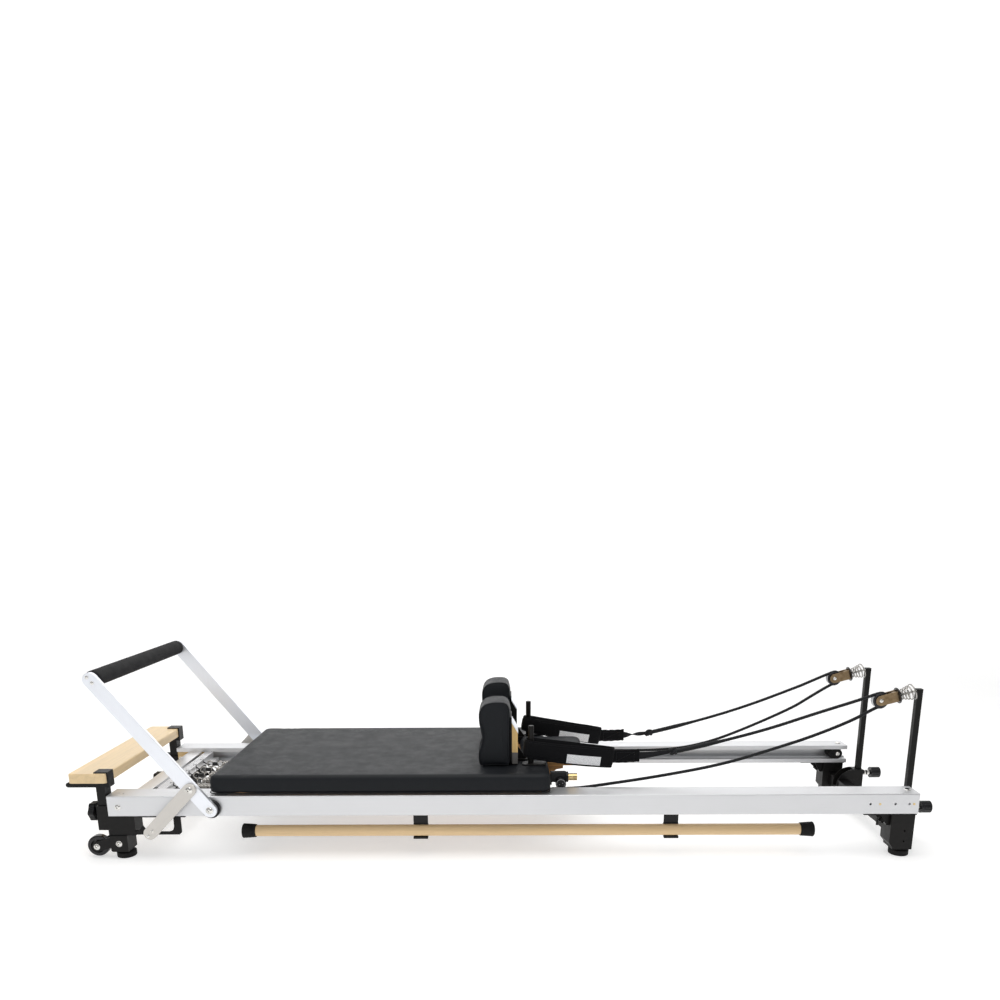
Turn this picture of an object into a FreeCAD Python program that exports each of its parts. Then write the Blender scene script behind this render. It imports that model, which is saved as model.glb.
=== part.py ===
"""Pilates reformer: a spring-resisted carriage on a low aluminium frame.

Millimetres, +Z up. X runs along the rails, footbar at -X and risers at +X, Y across, Z = 0 on the floor.
Parts are drawn with X measured from the middle of the rails, then moved so X = 0 is mid-length overall.
Parts that come in pairs are drawn at +Y and mirrored.
"""

import math
import os

import FreeCAD
import Part

V = FreeCAD.Vector

X_SHIFT = 13.0  # from the middle of the rails to the middle of the whole machine

# rails
RAIL_HALF = 1150.0
RAIL_TOP = 190.0
RAIL_BOTTOM = 130.0
RAIL_OUT = 290.0
RAIL_IN = 220.0
CHANNEL_BACK = 268.0
CHANNEL = (143.0, 177.0)
CHANNEL_MID = 160.0
BEAD_Y = 246.0
BEAD_R = 4.5

# legs and feet
PLATE_T = 3.2
LEG_TOP = RAIL_BOTTOM - PLATE_T
LEG_BOTTOM = 22.0
FOOT_R = 27.0
FOOT_Y = 260.0
FOOT_X = (-1123.0, 1120.0)

# footbar linkage
PIVOT = (-850.0, 154.0)
BAR_END = (-1143.0, 530.0)
ARM_W = 41.0
ARM_Y = (300.2, 310.0)
STRUT_W = 37.0
STRUT_Y = (310.4, 318.4)
STRUT_PIVOT_REACH = 80.0
STRUT_FOOT = (-1022.0, 89.0)
GRIP_R = 23.5
GRIP_TUBE_R = 16.0
STRUT_TUBE_R = 7.2

# standing platform
BOARD_X = (-1258.0, -1148.0)
BOARD_Z = (226.0, 254.0)
BOARD_HALF_Y = 281.0
POST_X = (-1182.5, -1157.0)
POST_Y = (241.0, 275.0)
STAR_KNOB_R = 28.5
STAR_KNOB_Z = 137.0

# transport wheels
WHEEL_AXLE = (-1197.0, 35.0)
WHEEL_R = 31.0
WHEEL_Y = (254.0, 278.0)

# carriage
PAD_X = (-861.0, 115.0)
PAD_HALF_Y = 288.0
PAD_Z = (194.5, 247.0)
PAD_CORNER = 22.0
NOTCH_X = 18.0
NOTCH_HALF_Y = 118.0
BASE_X = (-840.0, 112.0)
BASE_HALF_Y = 272.0
BASE_Z = (191.5, 203.0)
CARRIAGE_AXLES = (-790.0, 60.0)
AXLE_Z = CHANNEL[0] + BEAD_R + 0.3 + 11.5
AXLE_R = 4.0
ROLLER = (146.0, 199.0)
ROLLER_R = 15.5
ROLLER_Y = (203.0, 216.0)
POST_AT = (60.0, 167.0)
POST_R = 8.3
POST_TOP = 362.0

# shoulder rests and headrest
REST_Y = (97.0, 202.0)
REST_Z = (247.3, 441.0)
SOCKET_AT = (33.0, 132.0)
PEG_R = 6.0
HEADREST_X = (28.0, 230.0)
HEADREST_HALF_Y = 112.0
HEADREST_HINGE = (24.0, 234.0)

# springs
SPRING_Y = (-124.0, -62.0, 0.0, 62.0, 124.0)
SPRING_Z = 160.0
SPRING_X = (-1008.0, -640.0)
SPRING_R = 14.0

# risers, pulleys and ropes
RISER_X = (1163.5, 1179.5)
RISER_Y = (164.0, 180.0)
RISER_Z = (72.0, 467.0)
SLEEVE_X = (1152.1, 1182.9)
SLEEVE_Y = (156.6, 187.4)
SLEEVE_Z = (40.0, 124.0)
PULL_KNOB_X = (1212.0, 1243.0)
PULL_KNOB_Z = 110.0
PULL_KNOB_R = 18.0
PULLEY_AXLE = (1062.0, 434.0)
PULLEY_Y = 172.0
PULLEY_TILT = 15.0
PULLEY_R = 22.0
PULLEY_DISC = (50.0, 53.5)
ROPE_LINE_R = 20.6
ROPE_R = 4.5
ROPE_SPLIT_X = 960.0
GUIDE_Y = 209.5
UPPER_DRIFT = 5.0 / 580  # sideways lean of the upper run, towards the strap posts
LOWER_DRIFT = 37.5 / 900  # sideways lean of the lower run, towards the guides

# hand straps, by side: droop, loop height at the post, height of the tab's start and end, knot
LOOP_X = (62.0, 278.0)
STRAP = {
    1: (10.4, 288.0, 242.0, 245.0, (463.0, 252.0)),
    -1: (7.2, 296.0, 267.0, 270.0, (478.0, 282.0)),
}

# pole
POLE_Y = -255.0
POLE_Z = 73.0
POLE_R = 16.5
POLE_X = (-739.0, 832.0)
CLIP_X = (-261.0, 462.0)


# ---------------------------------------------------------------- helpers
def box(x, y, z):
    """Box between the low and high value of each axis."""
    return Part.makeBox(x[1] - x[0], y[1] - y[0], z[1] - z[0], V(x[0], y[0], z[0]))


def rod(centre, radius, span, axis="Y"):
    """Cylinder along axis over span; centre is its two other coordinates in X, Y, Z order."""
    low, high = span
    if axis == "X":
        start, way = V(low, centre[0], centre[1]), V(1, 0, 0)
    elif axis == "Y":
        start, way = V(centre[0], low, centre[1]), V(0, 1, 0)
    else:
        start, way = V(centre[0], centre[1], low), V(0, 0, 1)
    return Part.makeCylinder(radius, high - low, start, way)


def dome(centre, radius, height, base, side=1):
    """Button head on a face at Y = base, bulging towards side."""
    ball_r = (radius**2 + height**2) / (2 * height)
    ball = Part.makeSphere(ball_r, V(centre[0], base + side * (height - ball_r), centre[1]))
    low = min(base, base + side * height)
    cap = rod(centre, radius, (low, low + height))
    socket = rod(centre, radius * 0.36, (low - 1, low + height + 1))
    keep = rod(centre, radius, (base, base + 1.2) if side > 0 else (base - 1.2, base))
    return cap.common(ball).cut(socket).fuse(keep)


def profile_y(points, y):
    """Closed outline in the XZ plane, extruded over the Y span."""
    wire = Part.makePolygon([V(px, y[0], pz) for px, pz in points + points[:1]])
    return Part.Face(wire).extrude(V(0, y[1] - y[0], 0))


def bar_between(start, end, width, y):
    """Flat bar with round ends between two XZ points."""
    r = width / 2
    dx, dz = end[0] - start[0], end[1] - start[1]
    length = math.hypot(dx, dz)
    nx, nz = -dz / length * r, dx / length * r
    body = profile_y(
        [
            (start[0] + nx, start[1] + nz),
            (end[0] + nx, end[1] + nz),
            (end[0] - nx, end[1] - nz),
            (start[0] - nx, start[1] - nz),
        ],
        y,
    )
    return body.fuse([rod(start, r, y), rod(end, r, y)]).removeSplitter()


def rounded_slab(x, y, z, corner):
    """Slab with rounded vertical corners."""
    slab = box(x, y, z)
    upright = [e for e in slab.Edges if abs(e.Vertexes[0].Z - e.Vertexes[1].Z) > 1e-6]
    return slab.makeFillet(corner, upright)


def round_where(shape, radius, test):
    """Fillets the edges whose ends and middle all pass test."""
    chosen = []
    for edge in shape.Edges:
        middle = edge.valueAt((edge.FirstParameter + edge.LastParameter) / 2)
        if all(test(p) for p in [v.Point for v in edge.Vertexes] + [middle]):
            chosen.append(edge)
    return shape.makeFillet(radius, chosen)


def far_side(shapes):
    """Mirror image of each shape in the plane Y = 0."""
    return [s.mirror(V(0, 0, 0), V(0, 1, 0)) for s in shapes]


def pair(*shapes):
    """The shapes at +Y and their mirror images at -Y."""
    return list(shapes) + far_side(shapes)


def on_side(side, shapes):
    """The shapes at +Y, or their mirror images where side is -1."""
    return list(shapes) if side > 0 else far_side(shapes)


def along(start, end, distance):
    """Point at distance from start towards end, in the XZ plane."""
    length = math.hypot(end[0] - start[0], end[1] - start[1])
    share = distance / length
    return (start[0] + (end[0] - start[0]) * share, start[1] + (end[1] - start[1]) * share)


def cord(points, radius):
    """Round cord along straight runs joined by tangent arcs."""
    points = [V(*p) for p in points]
    edges, last = [], points[0]
    for before, corner, after in zip(points, points[1:], points[2:]):
        into, out = (corner - before), (after - corner)
        turn = into.getAngle(out)
        if turn < 0.01:
            continue
        setback = 0.45 * min(into.Length, out.Length)
        a = corner - V(into).normalize() * setback
        b = corner + V(out).normalize() * setback
        radius_of_turn = setback / math.tan(turn / 2)
        inward = (V(out).normalize() - V(into).normalize()).normalize()
        centre_gap = math.hypot(setback, radius_of_turn)
        middle = corner + inward * (centre_gap - radius_of_turn)
        edges.append(Part.makeLine(last, a))
        edges.append(Part.Arc(a, middle, b).toShape())
        last = b
    edges.append(Part.makeLine(last, points[-1]))
    spine = Part.Wire(edges)
    way = points[1] - points[0]
    ring = Part.Wire([Part.makeCircle(radius, points[0], way)])
    return spine.makePipeShell([ring], True, False)


# ---------------------------------------------------------------- frame
def side_rails():
    """Extruded rails: plain outside, inside an open channel whose floor has a bead for the wheels."""
    span = (-RAIL_HALF, RAIL_HALF)
    rail = box(span, (RAIL_IN, RAIL_OUT), (RAIL_BOTTOM, RAIL_TOP))
    rail = round_where(rail, 3.0, lambda p: abs(p.y - RAIL_OUT) < 0.1 and abs(p.x) <= RAIL_HALF)
    rail = rail.cut(box((-1160, 1160), (RAIL_IN - 5, CHANNEL_BACK), CHANNEL))
    rail = rail.cut(box((-1160, 1160), (271.5, 287.0), (133.5, 186.5)))
    for flange in ((133.0, 137.5), (180.0, 187.0)):
        rail = rail.cut(box((-1160, 1160), (RAIL_IN + 3, CHANNEL_BACK), flange))
    rail = rail.fuse(rod((BEAD_Y, CHANNEL[0]), BEAD_R, span, "X")).removeSplitter()
    for x in (1013.0, 1083.0, 1122.0):
        rail = rail.cut(rod((x, CHANNEL_MID), 3.2, (280, 300)))
    for x in (-1125.0, -1113.0):
        rail = rail.cut(rod((x, 261.0), 2.2, (180, 195), "Z"))
    return pair(rail)


def foot_crossbar():
    """Box section joining the rails behind the footbar."""
    tube = box((-1108, -1064), (-RAIL_IN, RAIL_IN), (140, 177))
    tube = tube.cut(box((-1105, -1067), (-230, 230), (143, 174)))
    return [tube.cut(rod((0, STAR_KNOB_Z + 9), 5.3, (-1120, -1050), "X"))]


def spring_bar():
    """Ribbed bar with a notch and hook pin for each spring."""
    bar = box((-1050, -1024), (-219, 219), (158, 178))
    for rib in range(3):
        x = -1046.5 + 7.5 * rib
        bar = bar.cut(box((x, x + 3.5), (-230, 230), (175.5, 180)))
    for y in SPRING_Y:
        bar = bar.cut(box((-1037, -1020), (y - 4, y + 4), (154, 180)))
    pins = [rod((-1030.5, SPRING_Z + 6), 2.6, (y - 6, y + 6)) for y in SPRING_Y]
    bar = bar.fuse(pins).removeSplitter()
    ends = pair(box((-1060, -1006), (190, 219), (150, 158)))
    return [bar.fuse(ends)]


def spring_bar_ties():
    """Blocks that carry the spring bar on the foot crossbar."""
    return pair(box((-1064, -1050), (150, 186), (146, 172)))


def head_leg():
    """Square leg with a chamfered lower edge and two cross holes."""
    leg = profile_y(
        [(1089, LEG_BOTTOM), (1144, LEG_BOTTOM), (1144, LEG_TOP), (1078, LEG_TOP), (1078, 42), (1089, 28)],
        (229, 287),
    )
    for z in (78.0, 47.0):
        leg = leg.cut(rod((1119, z), 2.5, (270, 300)))
    return leg.cut(rod((FOOT_X[1], FOOT_Y), 6.2, (10, 50), "Z"))


def head_legs():
    return pair(head_leg())


def head_plates():
    """Top plates under the rails with a diagonal brace and its two bolts."""
    plate = box((998, 1147), (226, 288.5), (LEG_TOP, RAIL_BOTTOM))
    brace = profile_y([(1050, LEG_TOP), (1077.9, LEG_TOP), (1077.9, 92), (1070, 92)], (238, 276))
    plate = plate.fuse(brace).removeSplitter()
    bolts = []
    for x, z in ((1052, 113), (1061, 100)):
        bolt = Part.makeCylinder(8.5, 13, V(x + 7, 257, z + 6), V(-0.66, 0, -0.75))
        bolts.append(bolt)
    plate = plate.fuse(bolts).removeSplitter()
    return pair(plate)


def foot_leg():
    """Leg block, wheel fork and platform sleeve at the footbar end, welded together."""
    upper = box((-1156, -1078), (236, 286), (71, LEG_TOP))
    lower = box((-1153, -1103), (234, 290), (LEG_BOTTOM, 71))
    lower = round_where(lower, 6.0, lambda p: abs(p.z - LEG_BOTTOM) < 0.1 and p.x < -1150)
    sleeve = box((-1187, -1152.5), (236.5, 279.5), (85, 158))
    hollow = box((POST_X[0] - 0.4, POST_X[1] + 0.4), (POST_Y[0] - 0.4, POST_Y[1] + 0.4), (80, 170))
    sleeve = sleeve.cut(hollow).cut(rod((258, STAR_KNOB_Z), 4.4, (-1190, -1180), "X"))
    ax, az = WHEEL_AXLE
    fork = []
    for y in ((279.0, 283.0), (249.0, 253.0)):
        arm = bar_between((ax, az), (-1150, 50), 30.0, y)
        fork.append(arm)
    leg = upper.fuse([lower, sleeve] + fork).removeSplitter()
    leg = leg.cut(hollow)
    for y in ((278.5, 284), (248.5, 253.5)):
        leg = leg.cut(rod(WHEEL_AXLE, 5.0, y))
    return leg.cut(rod((FOOT_X[0], FOOT_Y), 6.2, (10, 50), "Z"))


def foot_leg_blocks():
    return pair(foot_leg())


def feet():
    """Rubber feet on threaded stems, which stand inside the legs."""
    solids = []
    for x in FOOT_X:
        pad = rod((x, FOOT_Y), FOOT_R, (0, 15), "Z")
        pad = round_where(pad, 3.0, lambda p: p.z < 0.1)
        pad = pad.fuse(Part.makeCone(FOOT_R, 20, 4, V(x, FOOT_Y, 15)))
        stem = rod((x, FOOT_Y), 6.0, (15, 40), "Z")
        solids.append(pad.fuse(stem).removeSplitter())
    return pair(*solids)


def rack_plate():
    """Notched plate under the rail that the footbar strut rests in."""
    flange = box((-1148, -930), (226, 288.5), (LEG_TOP, RAIL_BOTTOM))
    outline = [
        (-1078, 73), (-952, 73), (-946, 79), (-946, LEG_TOP), (-966, LEG_TOP), (-966, 98),
        (-969, 89), (-975, 83.5), (-983, 81.5), (-1031, 81.5), (-1037, 94), (-1041, 88), (-1047, 86),
        (-1051, 91), (-1057, 100), (-1068, 85), (-1078, 85),
    ]
    rack = profile_y(outline, (280, 285))
    return flange.fuse(rack).removeSplitter()


def rack_plates():
    return pair(rack_plate())


def rail_end_blocks():
    """Blocks that fill the channel at the footbar end, each with a moulded peg."""
    block = box((-1148, -1056), (222.3, CHANNEL_BACK - 0.2), (CHANNEL[0] + 0.2, CHANNEL[1] - 0.2))
    block = block.cut(rod((BEAD_Y, CHANNEL[0]), BEAD_R + 0.2, (-1150, -1050), "X"))
    peg = rod((-1124, CHANNEL_MID), 8.0, (214, 224))
    peg = round_where(peg, 4.0, lambda p: abs(p.y - 214) < 0.1)
    return pair(block.fuse(peg).removeSplitter())


def rail_bumpers():
    """Rubber stops in the channel at the riser end."""
    stop = box((1106, 1120), (223, 262), (144, 176)).fuse(
        [rod((1106, CHANNEL_MID), 16.0, (223, 262)), rod((1120, CHANNEL_MID), 16.0, (223, 262))]
    )
    stop = stop.removeSplitter().cut(rod((BEAD_Y, CHANNEL[0]), BEAD_R + 0.3, (1000, 1200), "X"))
    return pair(stop)


def frame_bolts():
    """Button-head bolts in the rails, leg blocks, wheel forks and stops."""
    heads = [dome((-1119.3, 158.0), 9.0, 5.0, RAIL_OUT)]
    heads.append(dome((-1128.0, 47.0), 9.0, 5.0, 290.0))
    axle = rod(WHEEL_AXLE, 4.9, (247, 283.2)).fuse(dome(WHEEL_AXLE, 9.0, 5.0, 283.0)).removeSplitter()
    heads.append(axle)
    heads.append(dome((1120.0, CHANNEL_MID), 6.0, 3.5, 223.0, -1))
    heads.append(dome((-1140.0, 154.0), 6.0, 3.5, 222.3, -1))
    flat = rod((1129.0, 253.0), 9.5, (190, 193), "Z")
    flat = round_where(flat, 2.4, lambda p: p.z > 192.9)
    heads.append(flat)
    return pair(*heads)


def rail_set_screws():
    """Small brass screws flush with the outer face."""
    return pair(*[rod((x, CHANNEL_MID), 3.2, (290.0, 290.8)) for x in (1040.0, 1135.0)])


def pole_clips():
    """J-shaped clips under the near rail."""
    clips = []
    for x in CLIP_X:
        span = (x - 21, x + 21)
        ring = rod((POLE_Y, POLE_Z), POLE_R + 4, span, "X").cut(rod((POLE_Y, POLE_Z), POLE_R + 0.8, span, "X"))
        ring = ring.cut(box((x - 30, x + 30), (POLE_Y - 40, POLE_Y), (0, 130)))
        strap = box(span, (POLE_Y + 2, POLE_Y + 5.2), (POLE_Z + POLE_R + 2, RAIL_BOTTOM))
        lip = box(span, (POLE_Y - 11, POLE_Y + 0.5), (POLE_Z - POLE_R - 6.5, POLE_Z - POLE_R - 0.8))
        clips.append(ring.fuse([strap, lip]).removeSplitter())
    return clips


def riser_brackets():
    """Crossbar at the riser end with a cheeked sleeve for each riser."""
    x, y = SLEEVE_X, SLEEVE_Y
    sleeve = box(x, y, SLEEVE_Z)
    cheeks = []
    for cheek_y in ((y[0] - 3, y[0]), (y[1], y[1] + 3)):
        plate = box((1098, x[1]), cheek_y, (46, SLEEVE_Z[1]))
        plate = round_where(plate, 55.0, lambda p: abs(p.x - 1098) < 0.1 and p.z > 120)
        cheeks.append(plate)
    web = box((1100, x[0]), (y[0] - 3, y[1] + 3), (50, 62))
    tie = box((1100, 1140), (y[1] + 3, 229), (50, 92))
    bracket = sleeve.fuse(cheeks + [web, tie]).removeSplitter()
    gap = 0.4
    bracket = bracket.cut(
        box((RISER_X[0] - gap, RISER_X[1] + gap), (RISER_Y[0] - gap, RISER_Y[1] + gap), (30, 140))
    )
    bracket = bracket.cut(rod((PULLEY_Y, PULL_KNOB_Z), 5.4, (RISER_X[1], 1200), "X"))
    both = pair(bracket)
    bar = box((1102, 1138), (-(y[0] - 3), y[0] - 3), (52, 88))
    return [bar.fuse(both).removeSplitter()]


def pivot_discs():
    """Spacer discs between the rails and the footbar arms."""
    return pair(rod(PIVOT, 26.0, (RAIL_OUT, 299.9)).cut(rod(PIVOT, 6.06, (280, 310))))


def pivot_bolts():
    """Bolts that the footbar arms turn on."""
    bolt = rod(PIVOT, 6.0, (RAIL_OUT, 310.4)).fuse(dome(PIVOT, 10.5, 6.0, 310.3)).removeSplitter()
    return pair(bolt)


# ---------------------------------------------------------------- footbar and strut
def strut_pivot():
    return along(PIVOT, BAR_END, STRUT_PIVOT_REACH)


def screw_points(end, other):
    """Two screw centres, 20 mm apart along the bar, at its round end."""
    return [along(end, other, -10.0), along(end, other, 10.0)]


def footbar_frame():
    """Arms joined by the grip tube."""
    arm = bar_between(PIVOT, BAR_END, ARM_W, ARM_Y)
    arm = arm.cut(rod(PIVOT, 6.06, (290, 320)))
    arm = round_where(arm, 1.5, lambda p: abs(p.y - ARM_Y[1]) < 0.01 and math.dist((p.x, p.z), PIVOT) > 8)
    arms = pair(arm)
    tube = rod(BAR_END, GRIP_TUBE_R, (-ARM_Y[0], ARM_Y[0]))
    return [tube.fuse(arms).removeSplitter()]


def footbar_grip():
    """Foam sleeve on the grip tube."""
    grip = rod(BAR_END, GRIP_R, (-292, 292)).cut(rod(BAR_END, GRIP_TUBE_R, (-300, 300)))
    return [round_where(grip, 3.0, lambda p: abs(abs(p.y) - 292) < 0.1 and math.dist((p.x, p.z), BAR_END) > 20)]


def footbar_bolts():
    """End screws of the grip tube and the bolts the struts turn on."""
    screws = [dome(c, 5.0, 2.8, ARM_Y[1]) for c in screw_points(BAR_END, PIVOT)]
    c = strut_pivot()
    bolt = rod(c, 6.0, (ARM_Y[1], 318.8)).fuse(dome(c, 10.5, 6.0, 318.7)).removeSplitter()
    return pair(*(screws + [bolt]))


def strut_frame():
    """Struts joined by the tube that rests in the racks."""
    bar = bar_between(strut_pivot(), STRUT_FOOT, STRUT_W, STRUT_Y)
    bar = bar.cut(rod(strut_pivot(), 6.06, (300, 330)))
    tube = rod(STRUT_FOOT, STRUT_TUBE_R, (-STRUT_Y[0], STRUT_Y[0]))
    return [tube.fuse(pair(bar)).removeSplitter()]


def strut_screws():
    return pair(*[dome(c, 5.0, 2.8, STRUT_Y[1]) for c in screw_points(STRUT_FOOT, strut_pivot())])


# ---------------------------------------------------------------- platform
def platform_board():
    board = rounded_slab(BOARD_X, (-BOARD_HALF_Y, BOARD_HALF_Y), BOARD_Z, 12.0)
    return [round_where(board, 4.0, lambda p: p.z > BOARD_Z[1] - 0.1)]


def platform_brackets():
    """Post with an arm under the board and a hook over its edge."""
    y = POST_Y
    board_edge = BOARD_X[1]
    post = box(POST_X, y, (88, BOARD_Z[0]))
    arm = box((-1262, POST_X[1]), (y[0] + 2, y[1] - 2), (BOARD_Z[0] - 14, BOARD_Z[0]))
    cap = rod((-1262, BOARD_Z[0] - 7), 7.0, (y[0] + 2, y[1] - 2))
    riser = box((board_edge + 0.2, board_edge + 4), y, (BOARD_Z[0] - 14, BOARD_Z[1] + 3.2))
    shelf = box((POST_X[0], board_edge + 4), y, (BOARD_Z[0] - 14, BOARD_Z[0]))
    hook = box((-1184, board_edge + 4), y, (BOARD_Z[1] + 0.1, BOARD_Z[1] + 3.6))
    return pair(post.fuse([arm, cap, riser, shelf, hook]).removeSplitter())


def star_knob(y, z, face, shaft_end):
    """Lobed clamp knob on a shaft along X; face is its outer side."""
    body = rod((y, z), STAR_KNOB_R - 3, (face, face + 16), "X")
    lobes = []
    for i in range(6):
        a = math.radians(60 * i)
        at = (y + (STAR_KNOB_R - 8) * math.cos(a), z + (STAR_KNOB_R - 8) * math.sin(a))
        lobes.append(rod(at, 8.0, (face, face + 16), "X"))
        mid = math.radians(60 * i + 30)
        scoop = (y + (STAR_KNOB_R + 3) * math.cos(mid), z + (STAR_KNOB_R + 3) * math.sin(mid))
        body = body.cut(rod(scoop, 7.0, (face - 1, face + 17), "X"))
    body = body.fuse(lobes)
    boss = rod((y, z), 11.0, (face + 16, face + 21), "X")
    shaft = rod((y, z), 4.0, (face + 20, shaft_end), "X")
    return body.fuse([boss, shaft]).removeSplitter()


def star_knob_on_bracket(side):
    return on_side(side, [star_knob(258.0, STAR_KNOB_Z, -1210.0, POST_X[0] - 0.3)])


def star_knob_on_crossbar():
    return [star_knob(0.0, STAR_KNOB_Z + 9, -1132.0, -1062.0)]


# ---------------------------------------------------------------- transport wheels
def transport_wheel(side):
    wheel = rod(WHEEL_AXLE, WHEEL_R, WHEEL_Y)
    wheel = round_where(wheel, 5.0, lambda p: math.dist((p.x, p.z), WHEEL_AXLE) > 30)
    for y in ((270.0, 279.0), (253.0, 262.0)):
        dish = rod(WHEEL_AXLE, 20.0, y).cut(rod(WHEEL_AXLE, 9.0, y))
        wheel = wheel.cut(dish)
    return on_side(side, [wheel.cut(rod(WHEEL_AXLE, 4.96, (250, 280)))])


# ---------------------------------------------------------------- carriage
def peg_holes(z):
    x, y = SOCKET_AT
    return [rod((x, s * y), PEG_R + 0.5, z, "Z") for s in (1, -1)]


def carriage_pad():
    """Upholstered pad that wraps the edge of its base, with a bay for the headrest."""
    pad = rounded_slab(PAD_X, (-PAD_HALF_Y, PAD_HALF_Y), PAD_Z, PAD_CORNER)
    gap = 0.2
    base_x = (BASE_X[0] - gap, BASE_X[1] + gap)
    base_y = (-BASE_HALF_Y - gap, BASE_HALF_Y + gap)
    pad = pad.cut(rounded_slab(base_x, base_y, (180, BASE_Z[1]), 50.0))
    pad = pad.cut(pair(box((100, 120), (185, 203.5), (180, BASE_Z[1] + gap))))
    bay = box((NOTCH_X, 200), (-NOTCH_HALF_Y, NOTCH_HALF_Y), (190, 260))
    pad = pad.cut(bay)
    top = PAD_Z[1]
    pad = round_where(pad, 6.0, lambda p: p.z > top - 0.1)
    holes = [rod((POST_AT[0], s * POST_AT[1]), POST_R + 0.1, (190, 260), "Z") for s in (1, -1)]
    return [pad.cut(holes[0].fuse([holes[1]] + peg_holes((190, 260))))]


def carriage_base():
    """Plywood base under the pad with two curved cheeks that carry the headrest hinge."""
    base = rounded_slab(BASE_X, (-BASE_HALF_Y, BASE_HALF_Y), BASE_Z, 50.0)
    base = base.cut(box((NOTCH_X + 26, 200), (-90, 90), (180, 210)))
    cheek = profile_y(
        [
            (19, BASE_Z[0]), (118, BASE_Z[0]), (125, 196), (130, 203), (139, 209.5), (159, 213),
            (159, 222.4), (25, 222.4), (25, 238), (19, 238),
        ],
        (92, 106),
    )
    cheek = cheek.cut(rod(HEADREST_HINGE, 2.08, (80, 101)))
    base = base.fuse(pair(cheek)).removeSplitter()
    return [base.cut(peg_holes((180, 210))[0].fuse(peg_holes((180, 210))[1]))]


def carriage_frame():
    """Steel frame under the base: side plates, cross members, axles and spring anchor."""
    side = box((-835, 100), (203, 208), (148, BASE_Z[0]))
    side = side.cut(box((-700, -60), (200, 210), (140, 168)))
    axles = [rod((x, AXLE_Z), AXLE_R, (205, 256)) for x in CARRIAGE_AXLES]
    stops = [rod((x, AXLE_Z), 7.0, (253.6, 257)) for x in CARRIAGE_AXLES]
    parts = pair(side, *(axles + stops))
    for x in (-835, -380, 40):
        parts.append(box((x, x + 40), (-205, 205), (182, BASE_Z[0])))
    anchor = box((-634, -612), (-205, 205), (150, BASE_Z[0]))
    parts.append(anchor)
    frame = parts[0].fuse(parts[1:]).removeSplitter()
    return [frame]


def carriage_wheels(x):
    """Grooved wheels that run on the rail beads, one at each end of an axle line."""
    wheel = rod((x, AXLE_Z), 15.0, (239, 253))
    groove = Part.makeTorus(AXLE_Z - CHANNEL[0], BEAD_R + 0.3, V(x, BEAD_Y, AXLE_Z), V(0, 1, 0))
    wheel = wheel.cut(groove).cut(rod((x, AXLE_Z), AXLE_R + 0.06, (230, 260)))
    return pair(wheel)


def rope_guides():
    """Clamp block, flange and roller pin for the lower rope, one each side."""
    block = box((115.3, 162), (186, 202.5), (200, 231))
    block = round_where(block, 4.0, lambda p: p.z > 230.9)
    flange = rod((195, 214), 15.5, (161.5, 168), "X")
    pin = rod(ROLLER, 4.0, (200, 217.5))
    ear = bar_between((140, 212), ROLLER, 16.0, (196, 202.5))
    foot = box((112.1, 120), (186, 202.5), (192, 203))
    return pair(block.fuse([flange, pin, ear, foot]).removeSplitter())


def rope_guide_sleeves():
    """Bright sleeves that lead out of the rope guides."""
    sleeve = rod((195, 214), 10.5, (168, 194), "X").cut(rod((195, 214), 6.0, (176, 200), "X"))
    return pair(sleeve)


def guide_rollers():
    roller = rod(ROLLER, ROLLER_R, ROLLER_Y)
    groove = Part.makeTorus(ROLLER_R + 0.7, 5.0, V(ROLLER[0], sum(ROLLER_Y) / 2, ROLLER[1]), V(0, 1, 0))
    return pair(roller.cut(groove).cut(rod(ROLLER, 4.06, (200, 220))))


def strap_posts():
    """Upright posts that the hand straps hang on."""
    post = rod(POST_AT, POST_R, (BASE_Z[1], POST_TOP), "Z")
    post = round_where(post, 2.0, lambda p: p.z > POST_TOP - 0.1)
    collar = rod(POST_AT, 15.0, (PAD_Z[1], PAD_Z[1] + 4), "Z")
    return pair(post.fuse(collar).removeSplitter())


# ---------------------------------------------------------------- shoulder rests and headrest
def shoulder_pad(side):
    """Padded block, waisted at the front, flat at the back."""
    low, high = REST_Z
    front = [(-89, low), (-95, 270), (-94, 290), (-87, 318), (-84, 335), (-86, 355), (-92, 380), (-93, 405)]
    crown = [(-88, 422), (-75, 434), (-55, 440), (-30, high), (-12, 439), (-3, 432), (0, 420), (0, low)]
    block = profile_y(front + crown, REST_Y)
    return on_side(side, [block])


def shoulder_board(side):
    """Plywood back with a slanted top edge."""
    board = profile_y([(4, 286), (21, 286), (21, 344), (4, 374)], (112, 186))
    return on_side(side, [board])


def shoulder_bracket(side):
    """Steel back plate, base and gusset on a peg that drops into the carriage."""
    plate = box((0.2, 4), (108, 190), (256, 392))
    base = box((0.2, 50), (116, 139), (REST_Z[0], 252))
    block = box((4, 21), (112, 186), (250, 286))
    gusset = profile_y([(21, 252), (48, 252), (21, 290)], (124, 128))
    x, y = SOCKET_AT
    peg = rod((x, y), PEG_R, (206, 250), "Z")
    cap = profile_y([(4, 374.2), (21.4, 344.2), (21.4, 347.4), (4, 377.8)], (112, 186))
    return on_side(side, [plate.fuse([base, block, gusset, peg, cap]).removeSplitter()])


def headrest_pad():
    pad = rounded_slab(HEADREST_X, (-HEADREST_HALF_Y, HEADREST_HALF_Y), (232.0, 260.0), 26.0)
    return [round_where(pad, 9.0, lambda p: p.z > 259.9)]


def headrest_board():
    """Board under the headrest pad with its hinge barrel."""
    board = rounded_slab((26, 226), (-HEADREST_HALF_Y + 2, HEADREST_HALF_Y - 2), (223, 232), 24.0)
    barrel = rod(HEADREST_HINGE, 3.5, (-90, 90))
    leaf = box((23, 40), (-90, 90), (229.5, 232))
    pin = rod(HEADREST_HINGE, 2.0, (-100, 100))
    return [board.fuse([leaf, barrel, pin]).removeSplitter()]


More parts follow.
